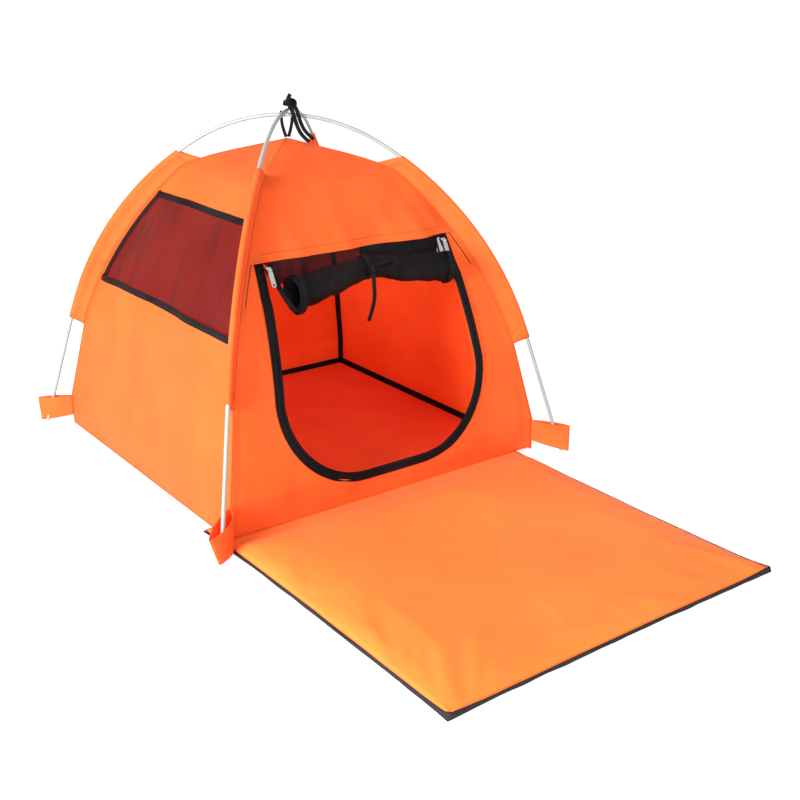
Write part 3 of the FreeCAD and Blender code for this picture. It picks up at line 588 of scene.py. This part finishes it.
points, faces, uvs = holed_sheet(whole, opening, middle, corners, place_door_wall, rings=20, rays=260)
door_cloth = make_piece("door_cloth", points, faces, "tent_cloth", "tent", uvs, CLOTH, ("door_wall",))


def place_flap(u, v):
    z = HEM + (APEX - HEM) * v
    across = half_width(z) * (2 * u - 1)
    pleat = (soft_fold(31.5, across + 0.35 * z, z, 30, 80, 3.8)
             + soft_fold(35.5, across - 0.7 * z, z, 64, 70, 7.5))
    lift = (pleat + 1.5 * (1 - v)) * seam_fade(across, z, 22) * (1 - 0.4 * v)
    return wall_point("front", across, z, lift + 0.4), (across, z)


points, faces, uvs = surface(place_flap, 120, 60)
flap = make_piece("front_flap_cloth", points, faces, "tent_cloth", "tent", uvs, CLOTH, ("front_flap",))

HEM_EDGE = HEM + 0.6
HEM_STITCHES = HEM + 9.0


def hem_line(height):
    """A line across the flap at one height, just in front of its cloth."""
    facing = wall_normal("front", height)
    share = (height - HEM) / (APEX - HEM)
    return [place_flap(i / 80, share)[0] + facing * 0.3 for i in range(81)]


points, faces, uvs = swept(hem_line(HEM_EDGE), [(-0.9, 0), (-0.6, 0.7), (0.6, 0.7), (0.9, 0), (0, -0.5)],
                           wall_normal("front", HEM_EDGE))
make_piece("flap_hem_edge", points, faces, "tent_cloth", "tent", uvs)
points, faces, uvs = stitch_row(hem_line(HEM_STITCHES)[4:-4], wall_normal("front", HEM_STITCHES))
make_piece("flap_hem_stitches", points, faces, "tent_cloth", "tent", uvs, material=stitch_thread)

# The zip's tape round the doorway, with its coil along the inner edge.
outline = door_outline(0.0, HEM + 6)
line = [wall_point("front", x, z, -0.9 - 3.0 * eased(z, 256, 274)) for x, z in outline]
up = [wall_normal("front", z) for _, z in outline]
inner = door_outline(4.2, HEM + 6)
coil_line = [wall_point("front", x, z, 0.4 - 3.0 * eased(z, 256, 274)) for x, z in inner]
coil = []
for i in range(len(coil_line) - 1):
    a, b = coil_line[i], coil_line[i + 1]
    turns = max(1, round((b - a).length / 1.6))
    for k in range(turns):
        coil.append((a.lerp(b, k / turns), up[i]))
tooth_line = [p + n * (0.35 if i % 2 else -0.1) for i, (p, n) in enumerate(coil)]
parts = [swept(line, tape_section(13.0, 1.2), up),
         swept(tooth_line, round_section(1.35, 8), [n for _, n in coil])]
points, faces, uvs = joined(parts)
make_piece("doorway_zip", points, faces, "black_tape", "tent", uvs, replaces=("door_zip_tape",))

# -------- the floor and the seams inside


def place_floor(u, v):
    x, y = BASE_HALF * (2 * u - 1) * 0.995, BASE_HALF * (2 * v - 1) * 0.995
    rise = 3.6 * (1 - eased(y, -200, -178))
    pucker = 1.4 * abs(noise.noise(Vector((x / 60, y / 60, 44.4))))
    pucker = pucker * min(1, (BASE_HALF - max(abs(x), abs(y))) / 20)
    return Vector((x, y, 0.9 + rise + pucker)), (x, y)


points, faces, uvs = surface(place_floor, 80, 80)
floor_piece = make_piece("floor_cloth_sheet", points, faces, "floor_cloth", "tent", uvs, CLOTH,
                         ("floor_sheet",))

CORNERS = {"front_left": 225, "front_right": 315, "back_right": 45, "back_left": 135}


def corner_point(corner, r, z, aside=0.0):
    angle = math.radians(CORNERS[corner])
    outward = Vector((math.cos(angle), math.sin(angle), 0))
    return outward * r + Vector((-outward.y, outward.x, 0)) * aside + Vector((0, 0, z))


seam_rows = [6 + (DOME_TOP - 6) * i / 50 for i in range(51)]
for corner in CORNERS:
    angle = math.radians(CORNERS[corner])
    inward = Vector((-math.cos(angle), -math.sin(angle), 0))
    line = [corner_point(corner, math.sqrt(2) * (half_width(z) - 4.4), z) for z in seam_rows]
    points, faces, uvs = swept(line, tape_section(8.0, 1.3), inward)
    make_piece(f"{corner}_inner_tape", points, faces, "black_tape", "tent", uvs,
               replaces=(f"{corner}_seam_tape",))

foot = BASE_HALF - 5
strips = []
for side in ("left", "back", "right"):
    line = [turned((-foot + 2 * foot * i / 30, -foot, 4.2), side) for i in range(31)]
    strips.append(swept(line, tape_section(9.0, 1.6), turned((0, 1, 0.8), side)))
points, faces, uvs = joined(strips)
make_piece("floor_tape", points, faces, "black_tape", "tent", uvs, replaces=("floor_seam_tape",))

# -------- rod sleeves and foot tabs

ROD_TOP = {"front_left": 461.6, "back_right": 461.6, "front_right": 456.4, "back_left": 456.4}
SIDE_RADIUS = 459.5
ROD_ACROSS = -112.28
ROD_DROP = 427.94
SLEEVE_FROM = 35.0
SLEEVE_TO = 71.8
SEAM_TOP = Vector((137.4, 396.8))
SEAM_LOW = Vector((311.4, 154.4))
SEAM_RADIUS = 560.0
chord = SEAM_LOW - SEAM_TOP
SEAM_RISE = SEAM_RADIUS - math.sqrt(SEAM_RADIUS**2 - (chord.length / 2) ** 2)


def rod_point(corner, degrees, beyond=0.0):
    """A point (r, z) on the rod's side arc, or beyond its lower end on the straight leg."""
    top = ROD_TOP[corner]
    angle = math.radians(degrees)
    r = ROD_ACROSS + SIDE_RADIUS * math.sin(angle) + beyond * math.cos(angle)
    return Vector((r, top - ROD_DROP + SIDE_RADIUS * math.cos(angle) - beyond * math.sin(angle)))


def seam_point(share):
    """A point (r, z) of the seam where a sleeve is sewn to the dome."""
    middle = SEAM_TOP.lerp(SEAM_LOW, share)
    outward = Vector((-chord.y, chord.x)).normalized()
    place = middle + outward * SEAM_RISE * (1 - (2 * share - 1) ** 2)
    place.x = min(place.x, math.sqrt(2) * half_width(place.y) - 1.5)
    return place


def sleeve_row(corner, share):
    """One section of a sleeve: up one face from the seam, round the rod and back down the other face."""
    degrees = SLEEVE_FROM + (SLEEVE_TO - SLEEVE_FROM) * share
    rod = rod_point(corner, degrees, max(0, share - 0.98) * 400)
    seam = seam_point(share)
    outward = rod - seam
    deep = outward.length
    outward = outward / deep
    wave = 0.9 * noise.noise(Vector((share * 9, 0, CORNERS[corner] / 50)))
    row = []
    for side in (-1, 1):
        face = []
        for k in range(9):
            t = k / 8
            along = deep * t
            aside = 0.6 + 2.9 * eased(t, 0.45, 0.95) + 0.9 * math.sin(math.pi * t) * (0.4 + wave * side)
            face.append((seam + outward * along, side * aside))
        row.append(face)
    tip = []
    for k in range(1, 8):
        angle = -math.pi / 2 + math.pi * k / 8
        tip.append((rod + outward * 3.6 * math.cos(angle), 3.5 * math.sin(angle)))
    loop = row[0] + tip + list(reversed(row[1]))
    return loop


for corner in CORNERS:
    rows = 70
    points, uvs = [], []
    for i in range(rows):
        loop = sleeve_row(corner, i / (rows - 1))
        for k, (place, aside) in enumerate(loop):
            points.append(corner_point(corner, place.x, place.y, aside))
            uvs.append((k * 2.0, i * 4.2))
    columns = len(loop)
    sleeve = make_piece(f"{corner}_rod_sleeve", points, grid_faces(columns, rows), "tent_cloth", "tent",
                        uvs, 0.7, (f"{corner}_sleeve",))
    parts = []
    for share in (0.03, 0.955):
        for way in (-1, 1):
            line = []
            for k in range(9):
                t = 0.08 + 0.72 * k / 8
                loop = sleeve_row(corner, share)
                place, aside = loop[round(t * 8)] if way < 0 else loop[-1 - round(t * 8)]
                line.append(corner_point(corner, place.x, place.y, aside + way * 0.45))
            facing = corner_point(corner, 0, 0, way)
            parts.append(stitch_row(line[::2], facing))
    for way in (-1, 1):
        line = []
        for i in range(2, rows - 2):
            loop = sleeve_row(corner, i / (rows - 1))
            place, aside = loop[1] if way < 0 else loop[-2]
            line.append(corner_point(corner, place.x, place.y, aside + way * 0.45))
        parts.append(stitch_row(line, corner_point(corner, 0, 0, way)))
    points, faces, uvs = joined(parts)
    make_piece(f"{corner}_sleeve_stitches", points, faces, "tent_cloth", "tent", uvs, material=stitch_thread)

TAB_FROM = 338.0
TAB_TO = 391.0
TAB_TWIST = 0.08
OPEN_BY = {"front_left": 8.0, "front_right": 5.0, "back_right": 5.0, "back_left": 5.0}

for corner in CORNERS:
    columns, rows = 22, 14
    points, uvs = [], []
    for row in range(rows):
        v = row / (rows - 1)
        for way in (-1, 1):
            for column in range(columns):
                t = column / (columns - 1)
                t = t if way < 0 else 1 - t
                r = TAB_FROM + (TAB_TO - TAB_FROM) * t
                low = 14 - 13 * t
                high = 43 - 5 * t
                if corner == "front_left":
                    r += 5 * t
                    low, high = 3 - 2.4 * t, 45 - 14 * t
                z = low + (high - low) * v
                bulge = OPEN_BY[corner] * math.sin(math.pi * min(1, 0.02 + t * 0.98)) ** 0.8
                bulge *= 0.55 + 0.45 * v
                lean = TAB_TWIST * (z - 25) * t + 1.2 * noise.noise(Vector((t * 3, v * 2, CORNERS[corner])))
                if corner == "front_left":
                    lean = t * (1.8 - 0.34 * z) + 4.0 * math.sin(math.pi * t)
                points.append(corner_point(corner, r, z, way * (bulge + 0.4) + lean))
                uvs.append((way * 60 + r, z))
    faces = grid_faces(columns * 2, rows, joined=True)
    tab = make_piece(f"{corner}_tab", points, faces, "tent_cloth", "tent", uvs, 0.9, (f"{corner}_foot_tab",))

# -------- the rolled door

ROLL_Y = -181.0
STATIONS = [(-104, 270, 21.5), (-90, 272.5, 20.5), (-52.5, 279, 18.5), (-20, 285.5, 15.5), (-4, 288, 13.5),
            (14, 286.5, 15.5), (61, 279, 18), (100, 274, 19), (126, 270, 19)]
TURNS = 3.1


def roll_station(x):
    """(z, radius) of the roll at x."""
    for (ax, az, ar), (bx, bz, br) in zip(STATIONS, STATIONS[1:]):
        if x <= bx:
            t = eased(x, ax, bx)
            return az + (bz - az) * t, ar + (br - ar) * t
    return STATIONS[-1][1:]


def roll_point(x, share, grow=0.0):
    """A point of the rolled sheet: share runs from the roll's heart, 0, to its outside, 1."""
    z, radius = roll_station(x)
    spiral = 0.6 + 0.4 * share
    angle = 2 * math.pi * TURNS * (share - 1) + 0.6
    crease = 1.3 * noise.noise(Vector((x / 9, angle * 0.9, 3.1)))
    crease += 2.6 * noise.noise(Vector((x / 38, angle * 1.9, 7.7)))
    here = (radius + grow) * spiral + crease * (0.3 + 0.7 * share)
    flat = 0.96
    return Vector((x, ROLL_Y + here * flat * math.cos(angle), z + here * math.sin(angle) / flat))


def place_roll(u, v):
    x = -106 + 233 * u
    return roll_point(x, v), (x, 270 * v)


points, faces, uvs = surface(place_roll, 120, 110)
roll = make_piece("rolled_net", points, faces, "black_net", "rolled_door", uvs, 0.5, ("door_roll",),
                  material=thick_net)

for name, x, node, grow in (("left", -104.5, "left_roll_tape", 3.2),
                            ("right", 125.5, "right_roll_tape", 2.0)):
    line, up = [], []
    for i in range(150):
        share = 0.06 + 0.94 * i / 149
        wobble = 2.2 * noise.noise(Vector((i / 16, 0, x)))
        point = roll_point(x, share, grow)
        point.x += wobble
        line.append(point)
        z, _ = roll_station(x)
        up.append(point - Vector((x, ROLL_Y, z)))
    points, faces, uvs = swept(line, tape_section(7.0, 1.1), up)
    make_piece(f"{name}_rolled_tape", points, faces, "black_tape", "rolled_door", uvs, replaces=(node,))


def place_curtain(u, v):
    x = (136 - 9 * eased(v, 0, 0.25)) * (2 * u - 1)
    z_roll, radius = roll_station(max(min(x, 125), -104))
    top = Vector((x, -157.5, 308))
    low = Vector((x, -161.5, z_roll + radius * 0.45))
    point = top.lerp(low, v)
    sway = 2.4 * noise.noise(Vector((x / 16, v * 1.2, 12.3))) * math.sin(math.pi * min(v + 0.15, 1))
    return point + Vector((0, sway - 1.5 * v, 0)), (x, 30 * v)




def place_curtain_fold(u, v):
    point, uv = place_curtain(0.52 + 0.48 * u, v)
    return point + Vector((0, 1.2 + 0.8 * math.sin(9 * u + 4 * v), 0)), uv


points, faces, uvs = surface(place_curtain_fold, 60, 16)
curtain_fold = make_piece("door_curtain_fold", points, faces, "black_net", None, uvs, 0, material=thick_net)
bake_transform(curtain_fold)
points, faces, uvs = surface(place_curtain, 110, 16)
curtain = make_piece("door_curtain", points, faces, "black_net", None, uvs, 0, ("door_net_curtain",),
                     material=thick_net)
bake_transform(curtain)

SIDE_TAPES = {
    "left": (-1, [(-127, -158.5, 305), (-126, -165, 292), (-122, -174, 276), (-115, -182, 258),
                  (-105, -184, 247.5)]),
    "right": (1, [(126, -158.5, 305), (125.5, -164, 294), (124.5, -171, 282), (122, -178, 268),
                  (118, -182, 250.5)]),
}
for name, (way, route) in SIDE_TAPES.items():
    line = smooth_line(route)
    points, faces, uvs = swept(line, tape_section(7.0, 1.1), Vector((way * 0.9, -0.45, 0.1)))
    side_tape = make_piece(f"{name}_side_tape", points, faces, "black_tape", None, uvs)
    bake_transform(side_tape)

band_x = -4.0
z_band, r_band = roll_station(band_x)
line, up = [], []
for i in range(48):
    angle = 2 * math.pi * i / 48
    out = Vector((0, math.cos(angle), math.sin(angle)))
    line.append(Vector((band_x + 0.8 * math.sin(2 * angle), ROLL_Y, z_band)) + out * (r_band + 1.4))
    up.append(out)
points, faces, uvs = swept(line, ribbon_section(6.4, 0.9), up, ring=True)
make_piece("tie_band", points, faces, "black_ribbon", "rolled_door", uvs, replaces=("door_tie_band",))


def knot_lump(centre, radii, width):
    """A ribbon knotted round itself, from a three-lobed knot line."""
    line, up = [], []
    for i in range(72):
        t = 2 * math.pi * i / 72
        offset = Vector((math.sin(t) + 2 * math.sin(2 * t), math.cos(t) - 2 * math.cos(2 * t),
                         -1.7 * math.sin(3 * t)))
        offset = Vector((offset.x * radii[0] / 3.4, offset.z * radii[1] / 2.2, offset.y * radii[2] / 3.4))
        line.append(Vector(centre) + offset)
        up.append(offset.normalized() + Vector((0.01, 0.02, 0.03)))
    return swept(line, ribbon_section(width, 0.9), up, ring=True)


points, faces, uvs = knot_lump((-4, -201.7, 291), (5, 4.3, 5), 4.0)
make_piece("band_knot", points, faces, "black_ribbon", "rolled_door", uvs, replaces=("door_tie_knot",))

bow_line = smooth_line([(-2, -202, 290), (6, -202.5, 287), (18, -202, 286.5), (29, -201.5, 290),
                        (35, -201.3, 293), (30, -201.3, 296.5), (18, -201.7, 298), (6, -202.2, 295.5),
                        (-2, -202.4, 292)])
points, faces, uvs = swept(bow_line, ribbon_section(4.8, 0.8), Vector((-0.3, -0.9, 0.3)))
make_piece("bow_loop", points, faces, "black_ribbon", "rolled_door", uvs, replaces=("door_tie_bow",))

# -------- the ties' free tails

TAILS = {
    "crown_tie_tail_near": ([(0, -10, 469.6), (-1, -15, 463.6), (0, -19.5, 453.6), (2, -23, 441.6),
                             (6.5, -27, 430.6), (12.5, -34, 423.6)], 0.0537, "tent", (-0.5, -0.85, 0.2)),
    "crown_tie_tail_far": ([(4.5, -9.5, 470.6), (4.2, -16.5, 466.6), (4.8, -21.5, 456.6), (6.5, -25, 445.6),
                            (11, -29, 434.6), (18.5, -36, 426.6)], 0.0542, "tent", (-0.35, -0.9, 0.25)),
    "door_tie_tail": ([(-5, -202.3, 286.1), (-5, -203.3, 271), (-3, -202.3, 255), (-6, -201.3, 239),
                       (-12, -201.3, 224)], 0.0636, "rolled_door", (-0.3, -0.95, 0.1)),
}
TAIL_WIDTH = 4.5
for name, (route, long, body, facing) in TAILS.items():
    line = smooth_line(route)
    points, faces, uvs = swept(line, ribbon_section(1.2 * TAIL_WIDTH, 1.1), Vector(facing), turn=0.3)
    tail = make_piece(f"{name}_ribbon", points, faces, "black_ribbon", body, uvs, replaces=(name,))

# -------- the crown's tie

for name, way in (("left", -1), ("right", 1)):
    line = smooth_line([(way * 1.9, 0, 427.4), (way * 6, 0, 438), (way * 8.5, 0, 450), (way * 8.5, -1, 462)])
    points, faces, uvs = swept(line, ribbon_section(4.4, 0.9), Vector((-0.5, -0.85, 0)), turn=0.5)
    make_piece(f"crown_{name}_strand", points, faces, "black_ribbon", "tent", uvs,
               replaces=(f"crown_tie_{name}_strand",))

parts = [knot_lump((3, -4, 470.6), (9, 7, 7.5), 5.2), knot_lump((4, -4, 469.6), (6, 6, 5), 5.4)]
stub = smooth_line([(1, -4, 472), (-1, -5, 476), (0.5, -6, 480), (2.5, -6.5, 483)])
parts.append(swept(stub, ribbon_section(5.4, 1.2), Vector((-0.4, -1, 0))))
points, faces, uvs = joined(parts)
make_piece("crown_knot", points, faces, "black_ribbon", "tent", uvs, replaces=("crown_tie_knot",))

# -------- the mat

MAT_LEFT, MAT_RIGHT = -252.0, 213.2
MAT_FRONT, MAT_BACK = -664.0, -195.0
MAT_TOP = 13.0
TONGUE_FROM, TONGUE_TO = -280.0, -246.0
MAT_COUNT = 96


def mat_plan(u, v):
    """A point of the mat's outline grid, its sides pulled in between the corners."""
    pull = 3.2
    x = MAT_LEFT + (MAT_RIGHT - MAT_LEFT) * u
    y = MAT_FRONT + (MAT_BACK - MAT_FRONT) * v
    x += pull * math.sin(math.pi * v) ** 0.6 * (1 - 2 * u)
    y += pull * math.sin(math.pi * u) ** 0.6 * (1 - 2 * v) * (1 if v < 0.5 else 0)
    return x, y


def mat_lid(u, v):
    """The cover's height above the underside at a point of the plan."""
    side = min(u, 1 - u) * (MAT_RIGHT - MAT_LEFT)
    front = v * (MAT_BACK - MAT_FRONT)
    edge = min(1, side / 20) * min(1, front / 30)
    rise = (1 - (1 - min(1, side / 22)) ** 2.4) * (1 - (1 - min(1, front / 34)) ** 2.2)
    _, y = mat_plan(u, v)
    tucked = eased(y, TONGUE_FROM, TONGUE_TO)
    swell = 0.86 + 0.14 * math.sin(math.pi * u) * math.sin(math.pi * v)
    near = 1 - eased(min(side, front), 12, 80)
    dents = 1.5 * noise.noise(Vector((u * 5, v * 4, 2.2))) + 0.5 * noise.noise(Vector((u * 15, v * 13, 8.2)))
    dents += 1.7 * near * noise.noise(Vector((u * 26, v * 7, 4.4) if front < side else (u * 7, v * 26, 4.4)))
    top = 4.0 + (MAT_TOP - 4.0) * rise * swell + dents * edge
    return top * (1 - tucked) + 3.0 * tucked


def mat_edge_height(x, y):
    """Height of the seam round the mat: it wavers, and lifts where the corners are pinched into ears."""
    ear = 0.0
    for corner_x in (MAT_LEFT, MAT_RIGHT):
        ear += 4.2 * math.exp(-math.hypot(x - corner_x, y - MAT_FRONT) / 26)
    return 3.4 + 0.8 * noise.noise(Vector((x / 45, y / 45, 9.1))) + ear


points, uvs, top_index, low_index = [], [], {}, {}
for j in range(MAT_COUNT):
    for i in range(MAT_COUNT):
        u, v = i / (MAT_COUNT - 1), j / (MAT_COUNT - 1)
        x, y = mat_plan(u, v)
        on_edge = i in (0, MAT_COUNT - 1) or j in (0, MAT_COUNT - 1)
        top_index[i, j] = len(points)
        lid = mat_lid(u, v)
        points.append(Vector((x, y, min(mat_edge_height(x, y), lid + 4) if on_edge else lid)))
        uvs.append((x, y))
        if on_edge:
            low_index[i, j] = top_index[i, j]
for j in range(1, MAT_COUNT - 1):
    for i in range(1, MAT_COUNT - 1):
        x, y = mat_plan(i / (MAT_COUNT - 1), j / (MAT_COUNT - 1))
        low_index[i, j] = len(points)
        points.append(Vector((x, y, 1.5)))
        uvs.append((x, y))
faces = []
for j in range(MAT_COUNT - 1):
    for i in range(MAT_COUNT - 1):
        square = ((i, j), (i + 1, j), (i + 1, j + 1), (i, j + 1))
        faces.append(tuple(top_index[c] for c in square))
        faces.append(tuple(low_index[c] for c in reversed(square)))
mat_cover = make_piece("mat_pad", points, faces, "mat_cloth", None, uvs, 0, ("mat_cover", "mat_padding"))

FRAMES = 20
MOST_RISE = 4.0


def inflate(piece, pinned):
    """Blow a closed piece up as cloth, keep how far it moves small, and leave a plain mesh."""
    group = piece.vertex_groups.new(name="held")
    group.add(pinned, 1.0, "REPLACE")
    cloth = piece.modifiers.new("cloth", "CLOTH")
    settings = cloth.settings
    settings.quality = 6
    settings.mass = 0.25
    settings.tension_stiffness = 12
    settings.compression_stiffness = 12
    settings.bending_stiffness = 0.3
    settings.use_pressure = True
    settings.uniform_pressure_force = 2.2
    settings.effector_weights.gravity = 0
    settings.vertex_group_mass = "held"
    cloth.point_cache.frame_start = 1
    cloth.point_cache.frame_end = FRAMES
    before = [v.co.copy() for v in piece.data.vertices]
    for step in range(1, FRAMES + 1):
        scene.frame_set(step)
    settled = bpy.data.meshes.new_from_object(piece.evaluated_get(bpy.context.evaluated_depsgraph_get()))
    after = [v.co.copy() for v in settled.vertices]
    piece.modifiers.remove(cloth)
    bpy.data.meshes.remove(settled)
    scene.frame_set(1)
    for vertex, old, new in zip(piece.data.vertices, before, after):
        moved = new - old
        if moved.length > MOST_RISE * MM:
            moved = moved.normalized() * MOST_RISE * MM
        vertex.co = old + moved
    piece.data.update()


held = set(low_index.values())
for (i, j), index in top_index.items():
    if points[index].y > TONGUE_FROM:
        held.add(index)
inflate(mat_cover, sorted(held))
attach(mat_cover, "mat")


def place_under(u, v):
    x, y = mat_plan(u, v)
    edge = 2.0 + 1.2 * noise.noise(Vector((u * 14, v * 14, 1.1)))
    x += edge * (2 * u - 1) if abs(2 * u - 1) > 0.98 else 0
    y -= edge if v < 0.01 else 0
    lift = 0.7 + 0.5 * (abs(2 * u - 1) > 0.98 or v < 0.01)
    return Vector((x, y, lift)), (x, y)


rim = [(0, 1 - i / 90) for i in range(91)]
rim += [(i / 90, 0) for i in range(1, 91)]
rim += [(1, i / 90) for i in range(1, 91)]
rim_points, rim_uvs = [], []
for height in (0, 1):
    for u, v in rim:
        x, y = mat_plan(u, v)
        tucked = eased(y, TONGUE_FROM, TONGUE_TO)
        out = 2.2 + 1.4 * noise.noise(Vector((x / 30, y / 30, 3.3))) if height == 0 else 0.4
        x += out * (2 * u - 1) if u in (0, 1) else 0
        y -= out if v == 0 else 0
        z = 0.7 if height == 0 else (mat_edge_height(x, y) + 0.1) * (1 - tucked) + 1.5 * tucked
        rim_points.append(Vector((x, y, z)))
        rim_uvs.append((x + y, z))
rim_part = (rim_points, grid_faces(len(rim), 2), rim_uvs)
points, faces, uvs = joined([surface(place_under, 97, 97), rim_part])
under = make_piece("mat_base", points, faces, "mat_underside", "mat", uvs, 1.0, ("mat_underside",))

# -------- the studio

floor_mesh = bpy.data.meshes.new("studio_floor")
HALF_FLOOR = 40.0
floor_mesh.from_pydata([(x, y, -0.0006) for x, y in ((-HALF_FLOOR, -HALF_FLOOR), (HALF_FLOOR, -HALF_FLOOR),
                                                    (HALF_FLOOR, HALF_FLOOR), (-HALF_FLOOR, HALF_FLOOR))],
                       [], [(0, 1, 2, 3)])
studio_floor = bpy.data.objects.new("studio_floor", floor_mesh)
scene.collection.objects.link(studio_floor)
floor_look, tree = new_tree("studio_floor")
floor_shader = add_node(tree, "ShaderNodeBsdfPrincipled", Base_Color=(0.82, 0.82, 0.82, 1), Roughness=0.9)
floor_shader.inputs["Specular IOR Level"].default_value = 0.1
floor_shader.inputs["Emission Color"].default_value = (1, 1, 1, 1)
floor_shader.inputs["Emission Strength"].default_value = 0.5
add_node(tree, "ShaderNodeOutputMaterial", Surface=floor_shader.outputs[0])
floor_mesh.materials.append(floor_look)


def soft_box(name, place, target, size, power, colour=(1, 1, 1)):
    light = bpy.data.lights.new(name, "AREA")
    light.shape = "SQUARE"
    light.size = size
    light.energy = power
    light.color = colour
    lamp = bpy.data.objects.new(name, light)
    way = (Vector(target) - Vector(place)).to_track_quat("-Z", "Y").to_matrix().to_4x4()
    lamp.matrix_world = Matrix.Translation(Vector(place)) @ way
    scene.collection.objects.link(lamp)


soft_box("key_light", (-2.5, -0.7, 0.9), (0, 0, 0.2), 1.2, 150)
soft_box("front_light", (-0.6, -2.6, 1.3), (0, -0.2, 0.1), 1.2, 34)

world = bpy.data.worlds.new("studio")
world.use_nodes = True
world.node_tree.nodes["Background"].inputs["Color"].default_value = (1, 1, 1, 1)
world.node_tree.nodes["Background"].inputs["Strength"].default_value = 0.72
scene.world = world
scene.view_settings.view_transform = "Standard"
